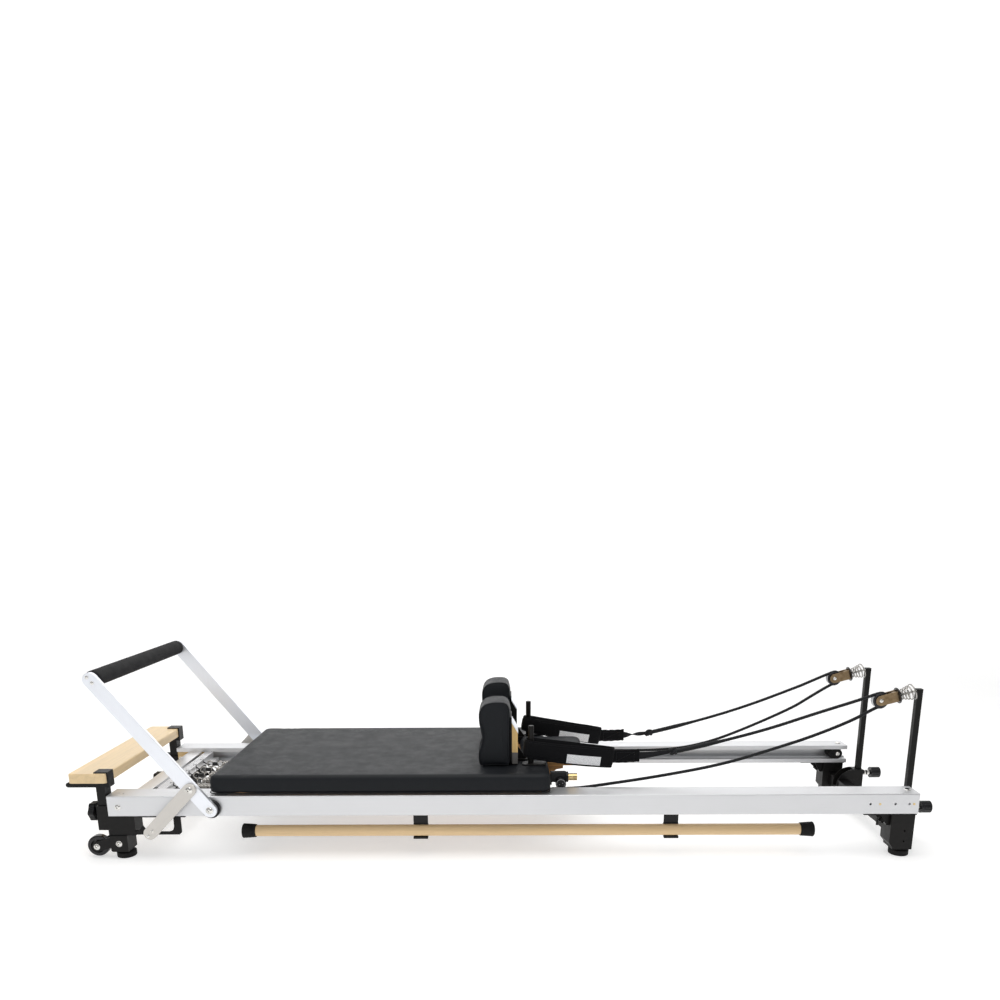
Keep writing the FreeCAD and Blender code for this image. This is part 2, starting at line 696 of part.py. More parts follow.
# ---------------------------------------------------------------- springs
def springs():
    """Extension springs: coil bodies with a hook at each end."""
    solids = []
    for y in SPRING_Y:
        x0, x1 = SPRING_X
        coil = rod((y, SPRING_Z), SPRING_R, (x0 + 16, x1 - 8), "X")
        coil = coil.cut(rod((y, SPRING_Z), SPRING_R - 4, (x0 + 10, x1), "X"))
        hook = rod((y, SPRING_Z), 2.0, (x0 - 10, x0 + 16), "X")
        cone = Part.makeCone(3, SPRING_R, 8, V(x0 + 10, y, SPRING_Z), V(1, 0, 0))
        tail = Part.makeCone(SPRING_R, 3, 6, V(x1 - 8, y, SPRING_Z), V(1, 0, 0))
        end = rod((y, SPRING_Z), 2.0, (x1 - 4, x1 + 5.8), "X")
        solids.append(coil.fuse([hook, cone, tail, end]).removeSplitter())
    return solids


# ---------------------------------------------------------------- risers and pulleys
def riser(side):
    """Square tube with index holes and the eye bolt that holds the pulley."""
    tube = box(RISER_X, RISER_Y, RISER_Z)
    tube = tube.cut(box((RISER_X[0] + 2, RISER_X[1] - 2), (RISER_Y[0] + 2, RISER_Y[1] - 2), (60, 464)))
    for i in range(5):
        z = PULL_KNOB_Z + 22 * i
        tube = tube.cut(rod((PULLEY_Y, z), 5.3, (RISER_X[1] - 4, RISER_X[1] + 2), "X"))
    return on_side(side, [tube])


def tilted(shape):
    """Turns a part drawn level about the pulley axle to the pulley's hanging angle."""
    shape.rotate(V(PULLEY_AXLE[0], 0, PULLEY_AXLE[1]), V(0, 1, 0), -PULLEY_TILT)
    return shape


def pulley_block(side):
    """Side plates, yoke, axle, thrust disc and eye bolt, and the cone spring round it."""
    x, z = PULLEY_AXLE
    y = PULLEY_Y
    plates = []
    for face in (y - 12, y + 10):
        plate = bar_between((x, z), (x + 30, z), 30.0, (face, face + 2))
        plates.append(plate.fuse(box((x + 28, PULLEY_DISC[0] + x), (face, face + 2), (z - 15, z + 15))))
    yoke = box((x + 36, x + PULLEY_DISC[0]), (y - 12, y + 12), (z - 13, z + 13))
    axle = rod(PULLEY_AXLE, 4.0, (y - 11, y + 11))
    screws = [rod(PULLEY_AXLE, 5.5, (y - 14, y - 12)), rod(PULLEY_AXLE, 5.5, (y + 12, y + 14))]
    disc = rod((y, z), 23.5, (x + PULLEY_DISC[0], x + PULLEY_DISC[1]), "X")
    stem = rod((y, z), 4.0, (x + 40, x + 120), "X")
    body = plates[0].fuse([plates[1], yoke, axle, disc, stem] + screws).removeSplitter()
    body = tilted(body)
    body = body.cut(box((RISER_X[0], 1300), (100, 250), (300, 600)))
    return on_side(side, [body] + pulley_spring())


def pulley_spring():
    """Cone spring between the thrust disc and the riser, as separate turns."""
    x, z = PULLEY_AXLE
    turns = []
    for i in range(5):
        ring = Part.makeTorus(13.0 + 2.6 * i, 1.6, V(x + 58 + 9 * i, PULLEY_Y, z), V(1, 0, 0))
        turns.append(tilted(ring))
    return turns


def pulley_wheel(side):
    wheel = rod(PULLEY_AXLE, PULLEY_R, (PULLEY_Y - 8, PULLEY_Y + 8))
    groove = Part.makeTorus(ROPE_LINE_R + 0.2, 5.7, V(PULLEY_AXLE[0], PULLEY_Y, PULLEY_AXLE[1]), V(0, 1, 0))
    wheel = wheel.cut(groove).cut(rod(PULLEY_AXLE, 4.06, (150, 200)))
    return on_side(side, [wheel])


def pull_knob(side):
    """Sprung index plunger with a ribbed knob."""
    y, z = PULLEY_Y, PULL_KNOB_Z
    knob = rod((y, z), PULL_KNOB_R, PULL_KNOB_X, "X")
    knob = round_where(knob, 2.0, lambda p: p.x > PULL_KNOB_X[1] - 0.1)
    for i in range(10):
        a = math.radians(36 * i)
        at = (y + 20.0 * math.cos(a), z + 20.0 * math.sin(a))
        knob = knob.cut(rod(at, 3.6, (PULL_KNOB_X[0] + 4, 1250), "X"))
    shaft = rod((y, z), 5.2, (RISER_X[1] + 0.3, PULL_KNOB_X[0] + 2), "X")
    collar = rod((y, z), 8.0, (1196, 1212), "X")
    return on_side(side, [knob.fuse([shaft, collar]).removeSplitter()])


# ---------------------------------------------------------------- ropes and straps
def rope_path(side):
    """Upper and lower run of one rope as XYZ points, pulley end first."""
    x, z = PULLEY_AXLE
    roller_low = ROLLER[1] - ROLLER_R - 0.8
    if side > 0:
        upper = [(954, 408), (767, 335), (576, 279), (478, 256)]
        lower = [(935, 332), (776, 256), (668, 213), (560, 188), (400, 181)]
    else:
        upper = [(1006, 435), (885, 396), (745, 347), (584, 304), (493, 284)]
        lower = [(1000, 381), (888, 333), (745, 287), (610, 247), (416, 213), (261, 192)]
    upper.insert(0, (x - 7.0, z + ROPE_LINE_R - 1.0))
    lower.insert(0, (x - 6.0, z - ROPE_LINE_R + 1.0))
    lower += [(200, roller_low + 1.5), (ROLLER[0], roller_low), (120, roller_low)]
    upper_run = [(px, side * (PULLEY_Y - UPPER_DRIFT * (x - px)), pz) for px, pz in upper]
    lower_run = [(px, side * min(GUIDE_Y, PULLEY_Y + LOWER_DRIFT * (x - px)), pz) for px, pz in lower]
    return upper_run, lower_run


def split_at(points, x_split):
    """Point where a run crosses x_split, and the points on either side of it."""
    for i, (a, b) in enumerate(zip(points, points[1:])):
        if (a[0] - x_split) * (b[0] - x_split) <= 0:
            share = (x_split - a[0]) / (b[0] - a[0])
            cut = tuple(p + (q - p) * share for p, q in zip(a, b))
            return points[: i + 1] + [cut], [cut] + points[i + 1 :]
    return points, []


def rope_runs(side):
    """The two runs between the carriage and the pulley."""
    upper, lower = rope_path(side)
    return [cord(split_at(run, ROPE_SPLIT_X)[1], ROPE_R) for run in (upper, lower)]


def rope_turn(side):
    """The part of the rope that bends round the pulley."""
    upper, lower = rope_path(side)
    into = split_at(upper, ROPE_SPLIT_X)[0][::-1]
    out = split_at(lower, ROPE_SPLIT_X)[0]
    x, z = PULLEY_AXLE
    around = []
    for degrees in (70, 40, 10, -20, -50, -75):
        a = math.radians(degrees)
        reach = ROPE_LINE_R + 0.9
        around.append((x + reach * math.cos(a), side * PULLEY_Y, z + reach * math.sin(a)))
    return [cord(into + around + out, ROPE_R)]


def oval(y, radius, z):
    """Upright column with an oval plan, as long as the strap loop."""
    ends = [rod((px, y), radius, z, "Z") for px in LOOP_X]
    return box(LOOP_X, (y - radius, y + radius), z).fuse(ends).removeSplitter()


def strap(side):
    """Padded loop round the post, with its sewn tab, its ribbon and the knot on the rope."""
    y = POST_AT[1]
    droop, centre_z, tab_z, end_z, knot = STRAP[side]
    half = 26.0
    z = (centre_z - half, centre_z + half)
    loop = oval(y, 26.0, z).cut(oval(y, 16.0, z))
    loop.rotate(V(50, y, centre_z), V(0, 1, 0), droop)
    tab = profile_y([(297, tab_z + 20), (375, end_z + 19), (375, end_z - 19), (297, tab_z - 20)], (y - 5, y + 5))
    ribbon = [(374, end_z + 11), (knot[0], knot[1] + 5), (knot[0], knot[1] - 5), (374, end_z - 11)]
    shape = loop.fuse([tab, profile_y(ribbon, (y - 3, y + 3)), Part.makeSphere(13.0, V(knot[0], y, knot[1]))])
    return on_side(side, [shape.removeSplitter()])


# ---------------------------------------------------------------- pole
def pole():
    return [rod((POLE_Y, POLE_Z), POLE_R, POLE_X, "X")]


def pole_caps():
    """Flared rubber ends."""
    caps = []
    for x, way in ((POLE_X[0], -1), (POLE_X[1], 1)):
        sleeve = Part.makeCone(POLE_R + 2.5, POLE_R + 5, 38, V(x, POLE_Y, POLE_Z), V(way, 0, 0))
        caps.append(sleeve)
    return caps


CORD_RADII = {"ropes": ROPE_R, "rope_turns": ROPE_R}


def build():
    """Every sub-part by node name."""
    near, far = -1, 1
    return {
        "side_rails": side_rails(),
        "foot_crossbar": foot_crossbar(),
        "spring_bar": spring_bar(),
        "spring_bar_ties": spring_bar_ties(),
        "head_legs": head_legs(),
        "head_plates": head_plates(),
        "foot_leg_blocks": foot_leg_blocks(),
        "feet": feet(),
        "rack_plates": rack_plates(),
        "rail_end_blocks": rail_end_blocks(),
        "rail_bumpers": rail_bumpers(),
        "frame_bolts": frame_bolts(),
        "rail_set_screws": rail_set_screws(),
        "pole_clips": pole_clips(),
        "riser_brackets": riser_brackets(),
        "pivot_discs": pivot_discs(),
        "pivot_bolts": pivot_bolts(),
        "footbar_frame": footbar_frame(),
        "footbar_grip": footbar_grip(),
        "footbar_bolts": footbar_bolts(),
        "strut_frame": strut_frame(),
        "strut_screws": strut_screws(),
        "platform_board": platform_board(),
        "platform_brackets": platform_brackets(),
        "star_knob_near": star_knob_on_bracket(near),
        "star_knob_far": star_knob_on_bracket(far),
        "star_knob_crossbar": star_knob_on_crossbar(),
        "transport_wheel_near": transport_wheel(near),
        "transport_wheel_far": transport_wheel(far),
        "carriage_pad": carriage_pad(),
        "carriage_base": carriage_base(),
        "carriage_frame": carriage_frame(),
        "carriage_wheels_foot": carriage_wheels(CARRIAGE_AXLES[0]),
        "carriage_wheels_head": carriage_wheels(CARRIAGE_AXLES[1]),
        "rope_guides": rope_guides(),
        "rope_guide_sleeves": rope_guide_sleeves(),
        "guide_rollers": guide_rollers(),
        "strap_posts": strap_posts(),
        "shoulder_pad_near": shoulder_pad(near),
        "shoulder_board_near": shoulder_board(near),
        "shoulder_bracket_near": shoulder_bracket(near),
        "shoulder_pad_far": shoulder_pad(far),
        "shoulder_board_far": shoulder_board(far),
        "shoulder_bracket_far": shoulder_bracket(far),
        "headrest_pad": headrest_pad(),
        "headrest_board": headrest_board(),
        "springs": springs(),
        "riser_near": riser(near),
        "riser_far": riser(far),
        "pulley_block_near": pulley_block(near),
        "pulley_block_far": pulley_block(far),
        "pulley_wheel_near": pulley_wheel(near),
        "pulley_wheel_far": pulley_wheel(far),
        "pull_knob_near": pull_knob(near),
        "pull_knob_far": pull_knob(far),
        "ropes": rope_runs(near) + rope_runs(far),
        "rope_turns": rope_turn(near) + rope_turn(far),
        "straps": strap(near) + strap(far),
        "pole": pole(),
        "pole_caps": pole_caps(),
    }


def main():
    os.makedirs("parts", exist_ok=True)
    for name, solids in build().items():
        shape = solids[0] if len(solids) == 1 else Part.makeCompound(solids)
        shape = shape.copy()
        shape.translate(V(X_SHIFT, 0, 0))
        shape.exportStep("parts/" + name + ".step")
        bounds = shape.BoundBox
        if name in CORD_RADII:
            print(f"{name} round section, radius {CORD_RADII[name]} mm")
        print(
            f"{name:24s} solids {len(shape.Solids):2d} valid {shape.isValid()} "
            f"X {bounds.XMin:8.1f} {bounds.XMax:8.1f} Y {bounds.YMin:7.1f} {bounds.YMax:7.1f} "
            f"Z {bounds.ZMin:6.1f} {bounds.ZMax:6.1f}"
        )


main()
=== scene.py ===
"""Looks of a pilates reformer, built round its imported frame: metres, +X footbar to risers, +Z up."""

import math

import bmesh
import bpy
from mathutils import Matrix, Vector, noise
from mathutils.bvhtree import BVHTree


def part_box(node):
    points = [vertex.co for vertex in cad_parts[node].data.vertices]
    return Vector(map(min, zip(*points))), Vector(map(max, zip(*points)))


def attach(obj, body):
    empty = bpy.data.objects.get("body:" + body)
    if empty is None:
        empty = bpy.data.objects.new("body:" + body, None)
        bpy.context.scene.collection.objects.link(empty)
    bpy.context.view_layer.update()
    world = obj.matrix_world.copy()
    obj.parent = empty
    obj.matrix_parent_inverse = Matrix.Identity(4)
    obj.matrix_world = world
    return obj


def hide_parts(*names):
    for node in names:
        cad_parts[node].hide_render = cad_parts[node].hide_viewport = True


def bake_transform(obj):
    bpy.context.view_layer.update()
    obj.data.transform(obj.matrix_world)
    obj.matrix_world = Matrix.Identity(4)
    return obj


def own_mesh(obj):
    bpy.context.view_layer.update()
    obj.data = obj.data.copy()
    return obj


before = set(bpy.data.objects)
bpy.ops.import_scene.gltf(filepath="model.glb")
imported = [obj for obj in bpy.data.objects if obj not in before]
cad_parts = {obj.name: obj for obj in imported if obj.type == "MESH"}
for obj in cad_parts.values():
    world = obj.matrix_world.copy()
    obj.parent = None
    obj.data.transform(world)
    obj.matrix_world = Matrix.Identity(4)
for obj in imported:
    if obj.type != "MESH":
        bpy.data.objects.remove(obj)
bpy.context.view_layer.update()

MM = 0.001
X_SHIFT = 13.0  # mm from the middle of the rails to the middle of the whole machine

# view of the whole machine from a standing height beside it
CAMERA_AT = Vector((0.0106, -2.4769, 0.9389))
CAMERA_YAW = -0.0121008
CAMERA_PITCH = 0.2407241
CAMERA_ROLL = -0.0073973
SENSOR = 36.0
FOCAL_SHARE = 0.816  # focal length as a share of the image width
SHIFT_UP = 0.2224

NEAR, FAR = -1, 1
SIDES = {"near": NEAR, "far": FAR}


def at(x, y, z):
    """Point from rail-centred millimetres, the way the frame's drawing gives them."""
    return Vector(((x + X_SHIFT) * MM, y * MM, z * MM))


# ---- shader helpers
def new_material(name, color, roughness, **values):
    """Principled material; values are other sockets of the shader by name, with _ for a space."""
    mat = bpy.data.materials.new(name)
    mat.use_nodes = True
    shader = mat.node_tree.nodes["Principled BSDF"]
    shader.inputs["Base Color"].default_value = (*color, 1)
    shader.inputs["Roughness"].default_value = roughness
    for key, value in values.items():
        shader.inputs[key.replace("_", " ")].default_value = value
    return mat


def shader_of(mat):
    return mat.node_tree.nodes["Principled BSDF"]


def add(mat, kind, inputs=None, **settings):
    """Adds a shader node; inputs maps a socket's name or number to a value or another node's output."""
    node = mat.node_tree.nodes.new("ShaderNode" + kind)
    for key, value in settings.items():
        setattr(node, key, value)
    for key, value in (inputs or {}).items():
        if isinstance(value, bpy.types.NodeSocket):
            mat.node_tree.links.new(value, node.inputs[key])
        else:
            node.inputs[key].default_value = value
    return node


def plug(mat, output, socket):
    mat.node_tree.links.new(output, shader_of(mat).inputs[socket])


def coordinates(mat, scale):
    """Object coordinates in metres, multiplied by scale: one number, or one for each axis."""
    if isinstance(scale, float):
        scale = (scale, scale, scale)
    where = add(mat, "TexCoord")
    return add(mat, "Mapping", {"Vector": where.outputs["Object"], "Scale": scale}).outputs[0]


def noise_at(mat, scale, detail=3.0, rough=0.55, distortion=0.0):
    """Noise value 0 to 1; scale gives the features per metre."""
    inputs = {"Vector": coordinates(mat, scale), "Scale": 1.0}
    inputs.update({"Detail": detail, "Roughness": rough, "Distortion": distortion})
    return add(mat, "TexNoise", inputs).outputs["Fac"]


def ramp(mat, value, stops):
    """Colour ramp through (position, colour) stops."""
    node = add(mat, "ValToRGB", {"Fac": value})
    elements = node.color_ramp.elements
    while len(elements) < len(stops):
        elements.new(0.5)
    for element, (position, color) in zip(elements, stops):
        element.position = position
        element.color = (*color, 1)
    return node.outputs["Color"]


def to_range(mat, value, low, high, start=0.3, end=0.7):
    inputs = {"Value": value, "From Min": start, "From Max": end, "To Min": low, "To Max": high}
    return add(mat, "MapRange", inputs).outputs[0]


def tint(mat, value, low, high, start=0.3, end=0.7):
    """Base colour that runs from low to high while the value goes from start to end."""
    plug(mat, ramp(mat, value, [(start, low), (end, high)]), "Base Color")


def vary_roughness(mat, value, low, high):
    plug(mat, to_range(mat, value, low, high), "Roughness")


def math_of(mat, operation, a, b=0.0, c=0.0):
    return add(mat, "Math", {0: a, 1: b, 2: c}, operation=operation).outputs[0]


def mix(mat, factor, a, b):
    node = add(mat, "Mix", {0: factor, 6: a, 7: b}, data_type="RGBA")
    return node.outputs[2]


def bump(mat, height, distance, strength=1.0, edge=0.0):
    """Bump of that depth in metres; edge rounds the normals over that radius."""
    node = add(mat, "Bump", {"Height": height, "Distance": distance, "Strength": strength})
    if edge:
        rounded = add(mat, "Bevel", {"Radius": edge}, samples=4)
        mat.node_tree.links.new(rounded.outputs[0], node.inputs["Normal"])
    plug(mat, node.outputs[0], "Normal")


def shaded(color, share):
    return tuple(min(1.0, c * share) for c in color)


# ---- materials
def aluminium(name, color, roughness, along):
    """Satin anodised extrusion, with fine draw lines along the named axis."""
    mat = new_material(name, color, roughness, Metallic=0.82)
    fine = [900.0, 900.0, 900.0]
    fine[along] = 6.0
    lines = noise_at(mat, fine, detail=2.0)
    clouds = noise_at(mat, (5.0, 5.0, 9.0), detail=4.0)
    tone = ramp(mat, clouds, [(0.3, shaded(color, 0.955)), (0.7, color)])
    streaks = ramp(mat, lines, [(0.35, shaded(color, 0.93)), (0.6, color)])
    plug(mat, mix(mat, 0.4, tone, streaks), "Base Color")
    vary_roughness(mat, lines, roughness - 0.05, roughness + 0.07)
    bump(mat, lines, 0.00004, 0.5, edge=0.0011)
    return mat


def powder_coat():
    """Black powder-coated steel with its fine orange-peel grain."""
    mat = new_material("black_powder_coat", (0.004, 0.004, 0.0041), 0.42, Specular_IOR_Level=0.22)
    grain = noise_at(mat, 1400.0, detail=2.0)
    wear = noise_at(mat, 22.0, detail=5.0)
    tint(mat, wear, (0.0032, 0.003, 0.0029), (0.008, 0.0072, 0.0066), 0.35, 0.75)
    vary_roughness(mat, wear, 0.36, 0.52)
    bump(mat, grain, 0.00012, 0.5, edge=0.0009)
    return mat


def chrome():
    """Polished plated screw heads and fittings."""
    mat = new_material("chrome", (0.78, 0.77, 0.75), 0.1, Metallic=1.0)
    smear = noise_at(mat, 60.0, detail=4.0)
    vary_roughness(mat, smear, 0.05, 0.2)
    tint(mat, smear, (0.70, 0.68, 0.64), (0.82, 0.82, 0.81))
    bump(mat, noise_at(mat, 700.0), 0.00002, 0.4, edge=0.0005)
    return mat


def spring_steel():
    """Polished steel wire, darker than the chrome heads."""
    mat = new_material("spring_steel", (0.40, 0.385, 0.365), 0.2, Metallic=1.0)
    smear = noise_at(mat, 160.0, detail=3.0)
    tint(mat, smear, (0.30, 0.285, 0.265), (0.50, 0.485, 0.465))
    vary_roughness(mat, smear, 0.14, 0.28)
    return mat


def brushed_plate():
    """Warm dark plated steel of the pulley cheeks."""
    mat = new_material("plated_steel", (0.25, 0.18, 0.10), 0.38, Metallic=0.85)
    smear = noise_at(mat, (90.0, 30.0, 90.0), detail=4.0)
    tint(mat, smear, (0.17, 0.115, 0.06), (0.30, 0.215, 0.125))
    vary_roughness(mat, smear, 0.3, 0.46)
    bump(mat, noise_at(mat, (900.0, 120.0, 900.0)), 0.00003, 0.4, edge=0.0004)
    return mat


def brass():
    mat = new_material("brass", (0.72, 0.52, 0.24), 0.28, Metallic=1.0)
    tarnish = noise_at(mat, 260.0, detail=4.0)
    tint(mat, tarnish, (0.50, 0.35, 0.15), (0.80, 0.62, 0.33), 0.3, 0.65)
    vary_roughness(mat, tarnish, 0.2, 0.42)
    bump(mat, tarnish, 0.00005, 0.4, edge=0.0004)
    return mat


def rubber():
    mat = new_material("rubber", (0.006, 0.006, 0.0065), 0.7, Specular_IOR_Level=0.22)
    dust = noise_at(mat, 70.0, detail=6.0)
    tint(mat, dust, (0.005, 0.005, 0.0055), (0.014, 0.013, 0.012), 0.4, 0.8)
    bump(mat, noise_at(mat, 1100.0, detail=2.0), 0.00015, 0.6, edge=0.0008)
    return mat


def moulded_plastic(name, color, roughness, grain_depth=0.0001, specular=0.28):
    """Moulded plastic with a fine spark-eroded grain."""
    mat = new_material(name, color, roughness, Specular_IOR_Level=specular)
    cloud = noise_at(mat, 40.0, detail=4.0)
    tint(mat, cloud, shaded(color, 0.85), shaded(color, 1.12))
    vary_roughness(mat, cloud, roughness - 0.06, roughness + 0.08)
    bump(mat, noise_at(mat, 1600.0, detail=1.0), grain_depth, 0.5, edge=0.001)
    return mat


def maple(name, along, light):
    """Lacquered light wood with the grain along the named axis."""
    mat = new_material(name, light, 0.42, Coat_Weight=0.25, Coat_Roughness=0.3)
    figure_scale = [34.0, 34.0, 34.0]
    figure_scale[along] = 1.6
    fibre_scale = [1100.0, 1100.0, 1100.0]
    fibre_scale[along] = 26.0
    figure = noise_at(mat, figure_scale, detail=5.0, rough=0.6, distortion=0.6)
    fibre = noise_at(mat, fibre_scale, detail=2.0)
    stops = [(0.32, shaded(light, 0.78)), (0.5, shaded(light, 0.96)), (0.68, shaded(light, 1.04))]
    base = ramp(mat, figure, stops)
    flecks = ramp(mat, fibre, [(0.38, shaded(light, 0.74)), (0.52, shaded(light, 1.02))])
    plug(mat, mix(mat, 0.28, base, flecks), "Base Color")
    vary_roughness(mat, figure, 0.36, 0.5)
    bump(mat, fibre, 0.00005, 0.5, edge=0.0015)
    return mat


PLY = 0.0036


def plywood(name, axis, face):
    """Plywood with its plies stacked along the named axis: veneer on the faces, layers on the edges."""
    mat = new_material(name, face, 0.5, Coat_Weight=0.2, Coat_Roughness=0.35)
    grain_scale = [240.0, 240.0, 240.0]
    grain_scale[1 if axis != 1 else 0] = 9.0
    veneer = noise_at(mat, grain_scale, detail=4.0, rough=0.6, distortion=0.4)
    stops = [(0.3, shaded(face, 0.62)), (0.5, face), (0.7, shaded(face, 1.22))]
    face_color = ramp(mat, veneer, stops)
    where = add(mat, "TexCoord")
    split = add(mat, "SeparateXYZ", {0: where.outputs["Object"]})
    layer = math_of(mat, "MULTIPLY", split.outputs[axis], 2 * math.pi / PLY)
    band = math_of(mat, "SINE", layer)
    wobble = math_of(mat, "MULTIPLY_ADD", veneer, 0.8, band)
    dark, pale = shaded(face, 0.5), shaded(face, 1.35)
    edge_color = ramp(mat, to_range(mat, wobble, 0.0, 1.0, -0.2, 0.9), [(0.25, dark), (0.6, pale)])
    facing = add(mat, "SeparateXYZ", {0: where.outputs["Normal"]})
    flat = math_of(mat, "GREATER_THAN", math_of(mat, "ABSOLUTE", facing.outputs[axis]), 0.7)
    plug(mat, mix(mat, flat, edge_color, face_color), "Base Color")
    bump(mat, veneer, 0.00012, 0.5, edge=0.0012)
    return mat


def vinyl():
    """Soft upholstery vinyl: fine pebbled grain, faint long creases, slightly worn sheen; painted shade
    darkens the grain's valleys and the sunk parts of the creases.
    """
    color, roughness = (0.0105, 0.0120, 0.0145), 0.46
    mat = new_material("upholstery_vinyl", color, roughness, Specular_IOR_Level=0.15)
    pebbles = {"Vector": coordinates(mat, 620.0), "Scale": 1.0}
    cells = add(mat, "TexVoronoi", pebbles, feature="DISTANCE_TO_EDGE").outputs["Distance"]
    creases = noise_at(mat, 26.0, detail=6.0, rough=0.65)
    # Painted shade: the mottled tone follows the crease noise that also drives the bump, so it darkens where
    # the creases sink; the grain's valleys are painted darker too.
    tone = ramp(mat, creases, [(0.3, shaded(color, 0.92)), (0.7, shaded(color, 1.1))])
    grain_valley_shade = ramp(mat, cells, [(0.0, shaded(color, 0.6)), (0.16, color)])
    plug(mat, mix(mat, 0.35, tone, grain_valley_shade), "Base Color")
    vary_roughness(mat, creases, roughness - 0.05, roughness + 0.08)
    pebble = to_range(mat, cells, 0.0, 1.0, 0.0, 0.22)
    bump(mat, math_of(mat, "MULTIPLY_ADD", creases, 0.8, pebble), 0.00022, 0.6)
    return mat


def foam():
    """Closed-cell foam sleeve."""
    mat = new_material("grip_foam", (0.022, 0.022, 0.024), 0.86, Specular_IOR_Level=0.15)
    cells = add(mat, "TexVoronoi", {"Vector": coordinates(mat, 900.0), "Scale": 1.0}).outputs["Distance"]
    scuff = noise_at(mat, 30.0, detail=5.0)
    tint(mat, scuff, (0.018, 0.018, 0.019), (0.030, 0.030, 0.031), 0.3, 0.75)
    bump(mat, cells, 0.0004, 0.7)
    return mat


def woven(name, color, thread=0.0011, depth=0.0003):
    """Plain weave of threads along X and Z, with painted shade in the weave's dips and painted highlight on
    its crossings.
    """
    sheen = {"Sheen_Weight": 0.04, "Sheen_Roughness": 0.5}
    mat = new_material(name, color, 0.8, Specular_IOR_Level=0.12, **sheen)
    where = add(mat, "TexCoord")
    split = add(mat, "SeparateXYZ", {0: where.outputs["Object"]})
    wave = math.pi / thread
    warp = math_of(mat, "SINE", math_of(mat, "MULTIPLY", split.outputs["X"], wave))
    weft = math_of(mat, "SINE", math_of(mat, "MULTIPLY", split.outputs["Z"], wave))
    weave = math_of(mat, "MULTIPLY", warp, weft)
    fuzz = noise_at(mat, 2200.0, detail=1.0)
    height = math_of(mat, "MULTIPLY_ADD", fuzz, 0.5, weave)
    light = to_range(mat, height, 0.0, 1.0, -0.8, 1.2)
    # Painted shade and highlight: the colour runs from dark in the weave's dips to light on its crossings,
    # following the bump height.
    tint(mat, light, shaded(color, 0.6), shaded(color, 1.5), 0.2, 0.8)
    bump(mat, height, depth, 0.6)
    return mat


def braided_rope():
    """Black polyester braid; the strands themselves are in the mesh."""
    mat = new_material("rope_braid", (0.008, 0.008, 0.009), 0.62, Sheen_Weight=0.05, Specular_IOR_Level=0.2)
    fibre = noise_at(mat, 1500.0, detail=3.0)
    tint(mat, fibre, (0.004, 0.004, 0.005), (0.015, 0.016, 0.018), 0.35, 0.7)
    bump(mat, fibre, 0.0003, 0.6)
    return mat


PAPER_GLOW = 0.52


def floor_paper():
    """White paper with a faint glow, so that the ground stays as pale as the photo's."""
    mat = new_material("studio_paper", (0.92, 0.92, 0.92), 0.9, Specular_IOR_Level=0.1)
    tooth = noise_at(mat, 3.0, detail=2.0)
    tint(mat, tooth, (0.59, 0.59, 0.59), (0.61, 0.61, 0.61))
    shader_of(mat).inputs["Emission Color"].default_value = (1.0, 1.0, 1.0, 1.0)
    shader_of(mat).inputs["Emission Strength"].default_value = PAPER_GLOW
    return mat


# ---- mesh helpers
def mesh_object(name, verts, faces):
    data = bpy.data.meshes.new(name)
    data.from_pydata([tuple(v) for v in verts], [], faces)
    data.update()
    obj = bpy.data.objects.new(name, data)
    bpy.context.scene.collection.objects.link(obj)
    return obj


def skin(name, rings, closed=False):
    """Mesh through equal rings of points, closed into a loop or capped at both ends."""
    count = len(rings[0])
    verts = [p for ring in rings for p in ring]
    faces = []
    for i in range(len(rings) if closed else len(rings) - 1):
        a = i * count
        b = ((i + 1) % len(rings)) * count
        for j in range(count):
            k = (j + 1) % count
            faces.append((a + j, a + k, b + k, b + j))
    if not closed:
        last = (len(rings) - 1) * count
        faces.append(tuple(reversed(range(count))))
        faces.append(tuple(range(last, last + count)))
    obj = mesh_object(name, verts, faces)
    fix_normals(obj)
    return obj


def fix_normals(obj):
    edit = bmesh.new()
    edit.from_mesh(obj.data)
    bmesh.ops.recalc_face_normals(edit, faces=edit.faces)
    edit.to_mesh(obj.data)
    edit.free()


def shade(obj, angle=40.0):
    """Smooth shading with creases kept above angle."""
    obj.data.shade_smooth()
    obj.data.set_sharp_from_angle(angle=math.radians(angle))


def dress(obj, mat, body, angle=40.0):
    """Material, shading and body of a finished piece."""
    obj.data.materials.clear()
    obj.data.materials.append(mat)
    shade(obj, angle)
    if body:
        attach(obj, body)
    return obj


def join(name, objects):
    """Joins separate meshes into one piece."""
    merged = bmesh.new()
    for obj in objects:
        merged.from_mesh(obj.data)
    data = bpy.data.meshes.new(name)
    merged.to_mesh(data)
    merged.free()
    for obj in objects:
        bpy.data.objects.remove(obj)
    joined = bpy.data.objects.new(name, data)
    bpy.context.scene.collection.objects.link(joined)
    return joined


def apply_modifiers(obj):
    depsgraph = bpy.context.evaluated_depsgraph_get()
    data = bpy.data.meshes.new_from_object(obj.evaluated_get(depsgraph))
    obj.modifiers.clear()
    obj.data = data


def spline(points, closed=False):
    """Points along a smooth NURBS line that has these points as its control points."""
    curve = bpy.data.curves.new("route", "CURVE")
    curve.dimensions = "3D"
    line = curve.splines.new("NURBS")
    line.points.add(len(points) - 1)
    for target, p in zip(line.points, points):
        target.co = (*p, 1)
    line.use_endpoint_u = not closed
    line.use_cyclic_u = closed
    line.order_u = 3
    line.resolution_u = 16
    holder = bpy.data.objects.new("route", curve)
    bpy.context.scene.collection.objects.link(holder)
    bpy.context.view_layer.update()
    data = bpy.data.meshes.new_from_object(holder)
    line_points = [v.co.copy() for v in data.vertices]
    bpy.data.objects.remove(holder)
    bpy.data.curves.remove(curve)
    bpy.data.meshes.remove(data)
    return line_points


